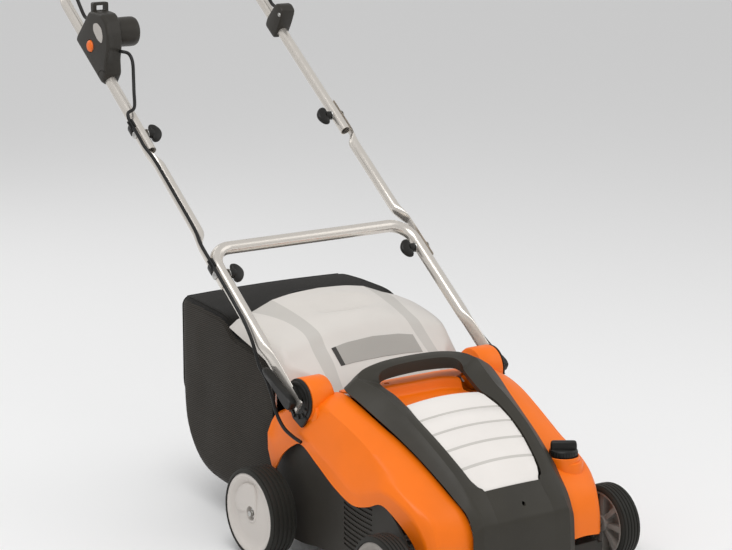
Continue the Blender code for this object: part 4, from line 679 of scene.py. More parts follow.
def make_hood():
    """Hood frame whose ridge runs up both legs and round the carry grip."""
    arch_edge, arch_ridge, arch_inner, arch_foot = ([row[k] for row in HOOD_ARCH] for k in range(4))
    leg_foot = [(x, y, z - 0.009) for x, y, z in HOOD_INNER[:8]]
    leg_foot += [(x, y + 0.006, z) for x, y, z in HOOD_INNER[8:]]
    edge, ridge = arch_edge + HOOD_EDGE, arch_ridge + HOOD_RIDGE
    inner, foot = arch_inner + HOOD_INNER, arch_foot + leg_foot
    near = [between(a, b, 0.45, 0.001) for a, b in zip(inner, ridge)]
    far = [between(a, b, 0.42, 0.0016) for a, b in zip(ridge, edge)]
    columns = refine([both_ways(c) for c in (foot, inner, near, ridge, far, edge)], 5, 3, (1, 3))
    piece("hood_frame", thick(*grid(columns), SHELL_WALL), "hood", "chassis", ("hood",), 22)
    under = [between(a, b, 0.5, -0.003) for a, b in zip(arch_foot, arch_edge)]
    closing = refine([both_ways(c) for c in (arch_foot, under, arch_edge)], 5, 3)
    piece("grip_underside", thick(*grid(closing), 0.002), "hood", "chassis", (), 50)
    front = [
        [(x, y - bulge, z + bulge) for _, y, z in HOOD_INNER[7:]]
        for x, bulge in mm([(0, 1.5), (20, 1.3), (41, 0.8), (62, 0)])
    ]
    shell = thick(*mirrored(*grid(refine(front, 6, 3))), SHELL_WALL)
    fascia = piece("hood_fascia", shell, "hood", "chassis", (), 50)
    cut(fascia, lathe(peg(0.0036, -0.48, -0.4), (0.004, 0, 0.17), "Y", 20))


def make_cover():
    """White cover: five smooth strips with a shallow groove between neighbours, each groove painted a darker
    grey as shade.
    """
    columns = [
        [(w * t, y, z - 0.0005 + 0.006 * (1 - t * t)) for y, w, z in COVER_ROWS]
        for t in [k / 12 for k in range(13)]
    ]
    shell = thick(*mirrored(*grid(columns)), PANEL_WALL)
    cover = piece("motor_cover_shell", shell, "panel", "chassis", ("motor_cover",), 60)
    # Painted shade: the faces along each groove take the darker grey.
    shaded_grooves = [COVER_ROWS[g][0] + OFFSET.y for g in COVER_GROOVES]
    second_look(cover, "groove", lambda face: any(abs(face.center.y - m) < GROOVE_SHADE_HALF for m in shaded_grooves))


def flap_columns():
    rows = [
        [(0.0, y, z), (0.06, y, z - 0.3 * di), (xi, y, z - di), (xo, y, z - do), (xs, y, z - ds),
         (xe, y - 0.004, z - de)]
        for y, z, xi, di, xo, do, xs, ds, xe, de in FLAP_STATIONS
    ]
    return [list(column) for column in zip(*rows)]


def recess(x, y, z):
    """Lowers the surface in the oval hand recess."""
    r = math.hypot(x / 0.108, (y - 0.112) / 0.046)
    if r >= 1.0:
        return (x, y, z)
    t = 1.0 - r
    return (x, y, z - 0.019 * t * t * (3 - 2 * t) * (1.0 if y < 0.112 else 0.75))


def make_flap():
    columns = [[recess(*p) for p in column] for column in refine(flap_columns(), 6, 5, (2, 3, 4))]
    shell = thick(*mirrored(*flipped(*grid(columns))), PANEL_WALL)
    flap = piece("flap_shell", shell, "flap", "rear_flap", ("rear_flap",), 55)
    places = [station[0] for station in FLAP_STATIONS]

    def in_band(face):
        y = face.center.y - OFFSET.y
        inner, outer = (np.interp(y, places, [station[k] for station in FLAP_STATIONS]) for k in (2, 4))
        return inner < abs(face.center.x) < outer

    second_look(flap, "band", in_band)
    barrel = mm([(3.4, -144.5), (6.2, -144), (6.2, 144), (3.4, 144.5)])
    piece("flap_barrel", lathe(barrel, (0, -0.0655, 0.3), "X", 32, True), "flap", "rear_flap")
    fine = [curve_through(c, 10) for c in flap_columns()[:3]]
    label = []
    for k in range(21):
        x = -LABEL_HALF + 2 * LABEL_HALF * k / 20
        column = []
        for j in range(7):
            y = LABEL_START + LABEL_DEPTH * j / 6
            heights = [np.interp(y, [p[1] for p in c], [p[2] for p in c]) for c in fine]
            z = np.interp(abs(x), (0.0, 0.06, 0.104), heights)
            column.append((x, y - 0.0006, z + 0.0008))
        label.append(column)
    film = piece("flap_label", thick(*flipped(*grid(label)), 0.0005), "label", "rear_flap")
    second_look(film, "label_dark", lambda face: face.center.x < LABEL_PRINT_X)


def bag_ring(y, half, low, top, round_top, round_low):
    """Half of a section of the bag, from the middle of its top down to the middle of its floor."""
    upper = [(x, y, z) for x, z in arc(half - round_top, top - round_top, round_top, 90, -90, 6)]
    lower = [(x, y, z) for x, z in arc(half - round_low, low + round_low, round_low, 0, -90, 6)]
    crown = [(0.0, y, top + 0.003), (half * 0.45, y, top + 0.0022)]
    wall = [between(upper[-1], lower[0], k / 6) for k in range(1, 6)]
    return crown + upper + wall + lower + [(half * 0.45, y, low), (0.0, y, low)]


def sagged(x, y, z):
    """A point of the bag's cloth, drawn in between the mouth frame and the back, with faint folds."""
    side = max(0.0, 1 - abs(abs(x) - 0.201) / 0.006)
    belly = math.sin(math.pi * min(max((y - 0.046) / 0.34, 0.0), 1.0))
    waist = math.sin(math.pi * min(max((z - 0.06) / 0.34, 0), 1))
    fold = 0.001 * math.sin(38 * y + 11 * z) + 0.0008 * math.sin(61 * z - 23 * y)
    x -= side * math.copysign(0.003 * belly * waist + fold, x)
    top = max(0.0, 1 - abs(x) / 0.18) if z > 0.33 and y > 0.2 else 0.0
    return (x, y, z - 0.0045 * top * belly)


def make_bag():
    """Bag of woven cloth: taut sides that sag a little between the mouth frame and the back."""
    rings = [bag_ring(*row) for row in mm([
        (46, 200, 62, 335, 22, 25), (110, 202, 58, 366, 20, 30), (185, 203, 56, 379, 20, 35),
        (225, 203, 56, 404, 18, 40), (300, 201, 62, 411, 18, 45), (345, 198, 82, 413, 18, 50),
        (376, 195, 122, 413, 18, 55), (392, 190, 185, 411, 18, 60),
    ])]
    columns = refine(list(zip(*rings)), 5, 2)
    for column in columns:
        x, y, z = column[-1]
        column += [
            (x * (1 - 0.06 * t), y + 0.004 * math.sin(t * math.pi / 2),
             BAG_MIDDLE_Z + (z - BAG_MIDDLE_Z) * (1 - 0.09 * t))
            for t in (0.35, 0.7, 1.0)
        ]
        x, y, z = column[-1]
        column += [
            (x * t, y + 0.003 * (1 - t), BAG_MIDDLE_Z + (z - BAG_MIDDLE_Z) * t)
            for t in (0.8, 0.55, 0.28, 0.0)
        ]
    shaped = [[sagged(*p) for p in column] for column in columns]
    shell = thick(*mirrored(*flipped(*grid(shaped))), CLOTH_WALL)
    bag = piece("bag_cloth_shell", shell, "cloth", "catcher_bag", ("bag",), 70)
    second_look(bag, "cloth_top", lambda face: face.normal.z > 0.6)
    for name, row, radius in (
        ("bag_hem", (47.5, 201.2, 61.2, 335.8, 22, 25), 0.0024),
        ("bag_back_seam", (392.5, 190.2, 184.5, 410.8, 18, 60), 0.0014),
    ):
        ring = bag_ring(*mm(row))
        path = curve_through(ring + [(-x, y, z) for x, y, z in ring[-2:0:-1]], 2, True)
        rings = []
        for i, p in enumerate(path):
            t = (Vector(path[(i + 1) % len(path)]) - Vector(path[i - 1])).normalized()
            rings.append(ring_round(p, Vector((t.z, 0, -t.x)) * radius, Vector((0, 1, 0)) * radius, 10))
        piece(name, loft(rings, True), "binding", "catcher_bag")
    for side, suffix in SIDES:
        ridge = [(side * (half - 0.006), y, z - 0.0055) for y, half, z in mm((
            (50, 200, 337), (110, 202, 366), (185, 203, 379.5), (225, 203, 404), (300, 201, 411),
            (345, 198, 413), (388, 191.5, 411.5),
        ))]
        piece("bag_top_seam_" + suffix, rod(curve_through(ridge, 6), 0.0013, 10), "binding", "catcher_bag")
    loop = mm([
        (-55, 232, 412), (-53, 232, 421), (-40, 231.5, 428), (-20, 231, 430.5), (0, 231.5, 428),
        (13, 232, 421), (15, 232, 412),
    ])
    piece("bag_wire_loop", rod(curve_through(loop, 6), 0.0024, 14), "rod", "catcher_bag", ("bag_loop",))


# ---- handle ----
def leg_ring(s, squash):
    """Section of a leg of the lower handle, from round (0) to flattened (1)."""
    flat_x = LEG_R + (0.003 - LEG_R) * squash
    flat_n = LEG_R + (0.0165 - LEG_R) * squash
    centre = Vector(on_handle(s, LEG_X))
    return [
        tuple(centre + Vector((flat_x * math.cos(a), 0, 0)) + LIFT * flat_n * math.sin(a)) for a in turn(32)
    ]


def make_lower_handle():
    stations = (
        (-0.0165, 0.93), (-0.01, 1.0), (0.06, 1.0), (0.085, 0.97), (0.1, 0.85), (0.111, 0.58),
        (0.122, 0.28), (0.13, 0.08), (0.138, 0.0),
    )
    rings = [leg_ring(*station) for station in stations]
    path = [on_handle(LOWER_KNOB_S, LEG_X)] + handle_bend(CROSSBAR_S, CROSSBAR_BEND, 14)
    path += [(-x, y, z) for x, y, z in path[::-1]]
    for i, p in enumerate(path):
        t = (Vector(path[min(i + 1, len(path) - 1)]) - Vector(path[max(i - 1, 0)])).normalized()
        rings.append(ring_round(p, LIFT.cross(t) * -LEG_R, LIFT * LEG_R, 32))
    rings += [[(-x, y, z) for x, y, z in leg_ring(*station)] for station in stations[::-1]]
    piece("lower_handle_tube", loft(rings), "tube", "lower_handle_set", ("lower_handle",), 60)


def make_mid_tube(side, suffix):
    low, high = LEG_R + SHELL_GAP, TUBE_R + SHELL_GAP
    stations = [
        (SADDLE_LOW_S, SHELL_R_LOW - 0.0006, low, 0.0), (SADDLE_LOW_S + 0.002, SHELL_R_LOW, low, 0.0),
        (0.38, SHELL_R_LOW, low, 0.0), (0.387, 0.0156, low, 0.15), (0.394, 0.0148, low, 0.35),
        (0.401, 0.0138, low, 0.55), (0.408, 0.0128, low, 0.75), (0.415, 0.0117, low, 0.92),
        (0.422, TUBE_R, low, 1.0), (0.6, TUBE_R, high, 1.0), (0.606, 0.0113, high, 0.9),
        (0.612, 0.0118, high, 0.75), (0.618, 0.0125, high, 0.55), (0.624, 0.0132, high, 0.35),
        (0.63, 0.014, high, 0.12), (0.635, SHELL_R_HIGH, high, 0.0),
        (SADDLE_HIGH_S - 0.002, SHELL_R_HIGH, high, 0.0), (SADDLE_HIGH_S, SHELL_R_HIGH - 0.0006, high, 0.0),
    ]
    rings = []
    for s, outer, chord, roundness in stations:
        centre = Vector(on_handle(s, side * LEG_X))
        flat_edge = math.acos(min(chord / (outer if roundness < 0.01 else SHELL_R_LOW), 1.0))
        reach = flat_edge + (math.pi / 2 - flat_edge) * roundness
        ring = []
        for k in range(21):
            a = reach * (-1 + 2 * k / 20)
            across = Vector((side * outer * math.cos(a), 0, 0))
            ring.append(tuple(centre + across + LIFT * outer * math.sin(a)))
        for k in range(1, 14):
            a = math.pi / 2 * (1 - 2 * k / 14)
            flatness = 1 - roundness
            x = flatness * chord - roundness * outer * math.cos(a)
            u = flatness * outer * math.sin(reach) * (1 - 2 * k / 14) + roundness * outer * math.sin(a)
            ring.append(tuple(centre + Vector((side * x, 0, 0)) + LIFT * u))
        rings.append(ring)
    piece("middle_tube_" + suffix, loft(rings), "tube", "mid_tube_set", ("mid_tube_" + suffix,), 60)


def make_upper_handle():
    path = [on_handle(UPPER_END_S, LEG_X), on_handle(0.75, LEG_X), on_handle(0.95, LEG_X)]
    path += handle_bend(GRIP_S, GRIP_BEND, 16)
    path += [(-x, y, z) for x, y, z in path[::-1]]
    pipe = pipe_along(path, TUBE_R, TUBE_WALL, 32)
    piece("upper_handle_tube", pipe, "tube", "upper_handle_set", ("upper_handle",), 60)


def make_knob(s, side, tube_r, level, suffix):
    """Half-moon wing knob with a ridge round its rim, and its hub."""
    y, z = on_handle(s)[1:]
    face = side * (LEG_X - tube_r - 0.0024)
    along = (math.sin(KNOB_LEAN), math.cos(KNOB_LEAN))
    across = (-math.cos(KNOB_LEAN), math.sin(KNOB_LEAN))
    rings = []
    for depth, length, thickness in KNOB_SECTIONS:
        ring = []
        for a in turn(36):
            c, n = math.cos(a), math.sin(a)
            u = length * math.copysign(abs(c) ** 0.8, c)
            v = thickness * math.copysign(abs(n) ** 0.8, n)
            ring.append((
                face - side * depth, y + u * along[0] + v * across[0], z + u * along[1] + v * across[1],
            ))
        rings.append(ring)
    hub = outward(face, side, (3.6, 0), (8.6, 0), (9.2, -4), (9.6, -10), (8.6, -12.5), (3.6, -12.5))
    name = level + "_knob_" + suffix
    shape = merge(loft(rings), lathe(hub, (0, y, z), "X", 32, True))
    piece(name + "_wing", shape, "black", name, (name,))


def make_bolt(s, side, tube_r, shell_r, level, suffix):
    centre = (0, *on_handle(s)[1:])
    head = side * (LEG_X + shell_r + 0.0006)
    tip = side * (LEG_X - tube_r - 0.002 - 0.014)
    profile = outward(head, side, (0.1, 4.2), (3, 4.1), (5.6, 3), (7.4, 1.4), (7.8, 0.4), (7.8, 0), (3, 0))
    profile += outward(tip, side, (3, 0), (0.1, 0))
    under = side * (LEG_X - tube_r - 0.0002)
    washer = outward(under, side, (3.3, 0), (9.8, 0), (10, -0.8), (9.2, -1.8), (3.3, -1.8))
    name = level + "_bolt_" + suffix
    shape = merge(lathe(profile, centre, "X", 32), lathe(washer, centre, "X", 32, True))
    piece(name + "_bright", shape, "steel", "mid_tube_set", (name,))


def make_clamp(side, suffix):
    """Ribbed disc bracket, its bolt and the quick clamp lever."""
    centre = (0, PIVOT_Y, PIVOT_Z)
    disc = mm([
        (4.5, 219), (39.2, 219), (40, 219.6), (40, 221.6), (39.2, 222.4), (35.2, 222.7), (34.5, 223.2),
        (34.5, 225.4), (33.8, 226.2), (26, 226.2), (25, 225.4), (24, 226.2), (4.5, 226.2),
    ])
    shapes = [lathe(on_side(disc, side), centre, "X", 72, True)]
    tail = rounded(mm([(-100, 280), (-82, 259), (-52, 272), (-45, 290), (-71, 300)]), 0.004)
    shapes.append(slab(tail, ((side * 0.2196, 1.0), (side * 0.2236, 1.0), (side * 0.225, 0.92))))
    for lift in (0.0178, -0.0208):
        corners = ((-0.012, lift), (0.018, lift), (0.018, lift + 0.003), (-0.012, lift + 0.003))
        shapes.append(plate([on_handle(s, 0, v)[1:] for s, v in corners], side * 0.224, side * 0.234))
    rib = mm(((26.5, 0.9), (33.5, 0.9), (33.5, -0.9), (26.5, -0.9)))
    for k in range(5):
        outline = turned(rib, math.radians(200 + 28 * k), PIVOT_Y, PIVOT_Z)
        shapes.append(plate(outline, side * 0.2258, side * 0.229))
    piece("pivot_bracket_" + suffix, merge(*shapes), "black", "lower_handle_set",
          ("handle_bracket_" + suffix,))
    end = mm([(0.1, 179), (4, 179.5), (4, 234.5), (3.4, 235.2), (0.1, 235.4)])
    piece("pivot_bolt_" + suffix, lathe(on_side(end, side), centre, "X", 32), "steel", "lower_handle_set",
          ("clamp_bolt_" + suffix,))
    lever = turned(rounded(mm([
        (-14, -8), (-4, -11.5), (10, -11), (45, -6.2), (88, -5), (95, 0), (88, 5), (45, 6.2), (10, 11),
        (-4, 11.5), (-14, 8),
    ]), 0.007), HANDLE_TILT - LEVER_DROP)
    sections = ((0.2355, 0.9), (0.2364, 0.96), (0.2385, 1.0), (0.248, 1.0), (0.2502, 0.97), (0.2515, 0.9))
    rings = [[(side * x, PIVOT_Y + g * y, PIVOT_Z + g * z) for y, z in lever] for x, g in sections]
    body = "clamp_lever_" + suffix
    piece("quick_lever_" + suffix, loft(rings), "black", body, (body,), 50)


# ---- controls ----
def bail_slot(side):
    """Closed shape of the slot in which a bail arm swings."""
    corners = mm(((947.5, 13.5), (1000, 13.5), (1000, 44), (964, 50), (947.5, 50)))
    outline = [on_handle(s, 0, lift)[1:] for s, lift in corners]
    return plate(outline, side * (BAIL_X - 0.0055), side * (BAIL_X + 0.0055))


def box_outline(flare):
    """Outline of the switch box; the flare widens it to the front and draws its lower end to the tube."""
    corners = [
        (0.706 - 0.004 * flare, 0.889 + 0.004 * flare), (0.6985, 0.901), (0.675, 0.924), (0.656, 0.944),
        (0.644, 0.956), (0.62, 0.956), (0.598 - 0.004 * flare, 0.953), (0.586 - 0.012 * flare, 0.938),
        (0.58 - 0.014 * flare, 0.915), (0.58 - 0.012 * flare, 0.885), (0.586 - 0.008 * flare, 0.86),
        (0.584, 0.8318 + 0.002 * flare), (0.604 - 0.0075 * flare, 0.806 + 0.0085 * flare),
    ]
    return rounded(corners, 0.006)


def make_switch_box():
    sections = (
        (-0.249, 0.9, 1.0), (-0.2486, 0.94, 1.0), (-0.2472, 0.975, 0.95), (-0.2445, 0.99, 0.85),
        (-0.24, 1.0, 0.6), (-0.23, 1.0, 0.25), (-0.215, 1.0, 0.0), (-0.212, 0.985, 0.0), (-0.2095, 0.95, 0.0),
        (-0.2085, 0.9, 0.0),
    )
    rings = [
        [(x, 0.64 + grow * (y - 0.64), 0.892 + grow * (z - 0.892)) for y, z in box_outline(flare)]
        for x, grow, flare in sections
    ]
    box = piece("switch_case", loft(rings), "switch", "upper_handle_set", ("switch_box",), 30)
    well = mm([(0.1, -235.5), (13, -235.5), (13.4, -260), (0.1, -260)])
    mark_y, mark_z = 0.594, 0.822
    mark = arc(mark_y, mark_z, 0.02, 20, 130, 12)
    mark += [(y * 0.94 + mark_y * 0.06, z * 0.94 + mark_z * 0.06) for y, z in mark[::-1]]
    cut(box, lathe(well, (0, BUTTON_Y, BUTTON_Z), "X", 48), plate(mark, -0.252, -0.247), bail_slot(-1))
    window = rounded(mm([(-237, 957), (-217, 957), (-217, 967), (-237, 967)]), 0.002)
    outer = rounded(mm([(-244, 948), (-210, 948), (-210, 973), (-244, 973)]), 0.004)
    rings = [
        [(x, y, z) for x, z in loop]
        for y, loop in ((0.6328, outer), (0.632, window), (0.644, window), (0.6432, outer))
    ]
    piece("lead_bar", loft(rings, True), "switch", "upper_handle_set")
    shroud = off(0, 0, (0.1, -212)) + off(SHROUD_R, 0, (-1.2, -212), (-0.4, -196), (0, -170), (-0.4, -162.5))
    shroud += off(SHROUD_R, 0, (-2, -159), (-4, -158), (-6.2, -158.8), (-7, -161), (-7, -195))
    shroud += off(0, 0, (0.1, -195))
    cup = lathe(shroud, (0, SHROUD_Y, SHROUD_Z), "X", 72)
    piece("plug_shroud", cup, "switch", "upper_handle_set", (), 45)
    pin = mm([(0.1, -196), (2.4, -196), (2.4, -173.5), (1.2, -172), (0.1, -172)])
    pins = [lathe(pin, (0, SHROUD_Y + dy, SHROUD_Z), "X", 20) for dy in (-0.007, 0.007)]
    piece("plug_pins", merge(*pins), "steel", "upper_handle_set")
    cap = mm([(0.1, -253.6), (6, -253.3), (10, -252), (11.6, -250), (12, -248), (12, -242), (0.1, -242)])
    button = lathe(cap, (0, BUTTON_Y, BUTTON_Z), "X", 48)
    piece("button_cap", button, "button", "start_button", ("start_button",))
    drop = mm([(592, 895), (587, 910), (593, 926), (609, 935), (625, 932), (626, 919), (610, 902)])
    piece("switch_decal", plate(rounded(drop, 0.006), -0.2496, -0.2485), "decal", "upper_handle_set")


def make_bail():
    half = along_handle(
        (BAIL_S, BAIL_X - 0.0105, BAIL_LIFT), (BAIL_S, BAIL_X - 0.0045, BAIL_LIFT),
        (BAIL_S + 0.0025, BAIL_X - 0.0008, BAIL_LIFT - 0.0012), (BAIL_S + 0.009, BAIL_X, BAIL_LIFT - 0.005),
        (0.99, BAIL_X, 0.029), (1.005, BAIL_X, 0.0265), (1.035, BAIL_X, 0.032),
        (1.09, BAIL_X - 0.001, 0.044), (1.108, BAIL_X - 0.006, 0.0475), (1.121, BAIL_X - 0.019, 0.05),
        (1.125, BAIL_X - 0.04, 0.051), (1.125, 0.12, 0.051), (1.125, 0.06, 0.051),
    )
    path = curve_through(half + [(-x, y, z) for x, y, z in half[::-1]], 4)
    piece("bail_rod", rod(path, BAIL_R, 16), "rod", "switch_bail", ("switch_bail",), 60)


def make_bracket():
    outline = rounded(mm([
        (938, -16), (979, -16), (983, 0), (980, 25), (976, 50), (965, 56), (948, 54), (943, 35), (940, 17),
    ]), 0.006)
    rings = [
        [on_handle(0.96 + g * (s - 0.96), x, 0.018 + g * (v - 0.018)) for s, v in outline]
        for x, g in ((0.213, 0.88), (0.2136, 0.95), (0.216, 1.0), (0.243, 1.0), (0.246, 0.96), (0.247, 0.88))
    ]
    bearing = piece("bail_bearing", loft(rings), "switch", "upper_handle_set", ("bail_bracket",), 38)
    cut(bearing, bail_slot(1))
    y, z = on_handle(0.951, 0, 0.04)[1:]
    screw = mm([(0.1, 248.8), (1.8, 248.8), (3.8, 248.4), (4.6, 247.2), (4.8, 246.2), (0.1, 246.2)])
    for end, profile in (("outer", screw), ("inner", [(r, 0.213 - (x - 0.247)) for r, x in screw])):
        piece("bracket_screw_" + end, lathe(profile, (0, y, z), "X", 24), "steel", "upper_handle_set")


CABLE_UPPER = mm([
    (-216, 578.5, 879), (-214, 572.2, 879), (-206.5, 564, 876.5), (-204.5, 554.5, 869), (-205, 547, 856.3),
    (-208, 540.2, 835.4), (-215, 527, 806), (-229, 502, 777),
]) + along_handle(
    (0.73, -0.2455, 0.019), (0.7205, -0.2488, 0.0158), (0.712, CABLE_X, CABLE_LIFT),
    (0.695, CABLE_X, CABLE_LIFT), (0.66, CABLE_X, CABLE_LIFT),
)
CABLE_MID = along_handle(
    (0.66, CABLE_X, CABLE_LIFT), (0.64, CABLE_X, CABLE_LIFT), (0.6, -0.244, 0.0145), (0.51, -0.2435, 0.0145),
    (0.42, -0.244, 0.0145), (0.38, CABLE_X, CABLE_LIFT), (0.33, CABLE_X, CABLE_LIFT), (0.25, CABLE_X, 0.014),
    (0.23, CABLE_X, 0.0135),
)
CABLE_LOWER = along_handle(
    (0.23, CABLE_X, 0.0135), (0.19, -0.2485, 0.011), (0.155, -0.2475, 0.003), (0.128, -0.2465, -0.009),
    (0.105, -0.245, -0.0215), (0.08, -0.24, -0.03),
) + mm([(-239.5, -7.5, 306), (-239, -22, 276), (-236.5, -42, 253), (-232, -65, 241), (-229, -88, 235)])


def make_cables():
    """The lead in three lengths, each running across one joint of the handle, baked into the frame."""
    for name, route, long, first, second, start, end, nodes in (
        ("lead_upper", CABLE_UPPER, LEAD_UPPER_LONG, "upper_handle_set", "mid_tube_set", on_handle(0.735),
         on_handle(0.69), ("cable_upper",)),
        ("lead_middle", CABLE_MID, LEAD_MIDDLE_LONG, "mid_tube_set", "lower_handle_set", on_handle(0.335),
         on_handle(0.285), ("cable_mid", "cable_lower")),
        ("lead_lower", CABLE_LOWER, LEAD_LOWER_LONG, "lower_handle_set", "chassis", on_handle(0.125),
         on_handle(0.045), ("cable_root",)),
    ):
        path = curve_through(route, 8)
        obj = mesh_object(name, rod(path, CABLE_R, 14), MATS["cable"], 60)
        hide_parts(*nodes)
        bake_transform(obj)


def make_clip(level, s, tube_r, shell_r):
    wrap = math.acos((tube_r + 0.0006) / (shell_r + 0.0003))
    out, up = -(CABLE_X + LEG_X), CABLE_LIFT
    hook = math.atan2(up, out)

    def band(centre_out, centre_up, inner, outer, first, last, count):
        rings = []
        for step in (-0.0085, -0.0075, 0.0075, 0.0085):
            trim = 0.0006 if abs(step) > 0.008 else 0.0
            turn = [first + (last - first) * k / count for k in range(count + 1)]
            loop = [(outer - trim, a) for a in turn] + [(inner, a) for a in turn[::-1]]
            centre = Vector(on_handle(s, -LEG_X)) + ALONG * step
            rings.append([
                tuple(centre + Vector((-centre_out - r * math.cos(a), 0, 0))
                      + LIFT * (centre_up + r * math.sin(a)))
                for r, a in loop
            ])
        return loft(rings)

    shapes = [
        band(0, 0, shell_r + 0.0003, SHELL_R_LOW + 0.003, -wrap, wrap, 20),
        band(out, up, CABLE_R + 0.0003, CABLE_R + 0.0032, hook + 0.8, hook + 5.5, 28),
    ]
    piece("lead_clip_" + level, merge(*shapes), "black", "mid_tube_set", ("cable_clip_" + level,))


# ---- running gear ----
def tyre_profile(radius, inner, outer, bore):
    """Half section of a tyre whose tread has raised ribs between round grooves."""
    width = outer - inner
    crown = 0.0016
    profile = [(bore, inner + 0.0025), (bore + 0.003, inner + 0.0004), (radius - 0.01, inner),
               (radius - 0.0055, inner + 0.0008), (radius - 0.0026, inner + 0.003)]
    pitch = (width - 0.008) / TYRE_RIBS
    for k in range(TYRE_RIBS):
        left = inner + 0.004 + pitch * k
        for share, depth in ((0.1, 0.002), (0.17, 0.0004), (0.5, 0.0), (0.83, 0.0004), (0.9, 0.002)):
            x = left + pitch * share
            arch = crown * (2 * (x - inner) / width - 1) ** 2
            profile.append((radius - arch - depth, x))
    return profile + [
        (radius - 0.0026, outer - 0.003), (radius - 0.0055, outer - 0.0008), (radius - 0.01, outer),
        (bore + 0.003, outer - 0.0004), (bore, outer - 0.0025),
    ]


def make_tyre(body, node, centre, sizes, side):
    shape = lathe(on_side(tyre_profile(*sizes), side), centre, "X", 128, True)
    piece(body + "_tyre", shape, "tyre", body, (node,))


def make_rear_wheel(side, suffix):
    centre = (0, 0, REAR_WHEEL_R)
    body = "rear_wheel_" + suffix
    inner, outer, bore = REAR_WHEEL_IN, REAR_WHEEL_OUT, REAR_BORE
    make_tyre(body, "rear_tyre_" + suffix, centre, (REAR_WHEEL_R, inner, outer, bore), side)
    rim = off(0, outer, (6.2, -20), (11, -20), (12, -18.5), (13.5, -8.8), (15.5, -6.8), (19, -6.4), (48, -9))
    rim += off(0, outer, (61, -7.8), (66, -3.5), (69, -1.4), (73, -0.8))
    rim += off(bore, outer, (-1.2, -1.4), (-0.2, -3)) + off(bore, inner, (-0.2, 2), (-5, 2))
    rim += off(bore, outer, (-8, -16)) + off(0, outer, (26, -18)) + off(0, inner, (20, 6), (6.2, 6))
    piece(body + "_rim", lathe(on_side(rim, side), centre, "X", 96, True), "rear_rim", body,
          ("rear_rim_" + suffix,), 50)
    lobe = arc(0.0, 0.0, 0.0185, 180, 180, 14) + mm([(18.5, 16), (18, 32), (15.5, 46)])
    lobe += arc(0.0, 0.0, 0.057, 78, 91, 13) + mm([(-50, -3), (-34, -5)])
    cu, cv = -0.014, 0.018
    relief = [
        [(side * (outer - depth), -(cu + shrink * (u - cu)), REAR_WHEEL_R + cv + shrink * (v - cv))
         for u, v in lobe]
        for depth, shrink in ((0.0115, 1.03), (0.0064, 1.0), (0.0054, 0.975), (0.005, 0.94))
    ]
    swell = piece(body + "_relief", loft(relief), "rear_rim", body, (), 50)
    cup = off(0, outer, (0.1, -12), (13, -12), (14, -1), (0.1, -1))
    cut(swell, lathe(on_side(cup, side), centre, "X", 48))
    bolt = off(0, outer, (0.1, -4), (3, -4.2), (5, -5.6), (5.6, -7.5), (5.6, -10), (9.5, -10.4), (9.8, -11.8))
    bolt += off(0, outer, (0.1, -12))
    piece(body + "_bolt", lathe(on_side(bolt, side), centre, "X", 36), "steel", body)


def make_front_wheel(side, suffix):
    centre = (0, -WHEEL_BASE, FRONT_WHEEL_R)
    body = "front_wheel_" + suffix
    inner, outer, bore = FRONT_WHEEL_IN, FRONT_WHEEL_OUT, FRONT_BORE
    make_tyre(body, "front_tyre_" + suffix, centre, (FRONT_WHEEL_R, inner, outer, bore), side)
    rim = off(0, outer, (5.8, -16), (15, -16), (40, -12), (47, -8), (52, -3), (56, -1.6))
    rim += off(bore, outer, (-1, -2), (-0.2, -3.5))
    rim += off(bore, inner, (-0.2, 2.5), (-1.2, 1.2), (-4, 1.2), (-5.2, 3))
    rim += off(bore, outer, (-8, -20)) + off(0, outer, (20, -22))
    rim += off(0, inner, (15, 6), (13.5, 4), (5.8, 4))
    shapes = [lathe(on_side(rim, side), centre, "X", 96, True)]
    spoke = [(0.013, -0.0034), (bore - 0.0035, -0.0058), (bore - 0.0035, 0.0058), (0.013, 0.0034)]
    for a in turn(8):
        outline = turned(spoke, a, -WHEEL_BASE, FRONT_WHEEL_R)
        shapes.append(plate(outline, side * (inner + 0.007), side * (outer - 0.018)))
    piece(body + "_rim", merge(*shapes), "front_rim", body, ("front_rim_" + suffix,), 45)
    cap = off(0, outer, (0.1, -0.4), (18, -0.6), (31, -1.6), (37.5, -3.4), (39.5, -5.8), (39.8, -10))
    cap += off(0, outer, (0.1, -10.2))
    piece(body + "_cap", lathe(on_side(cap, side), centre, "X", 72), "cap", body, ("front_cap_" + suffix,))


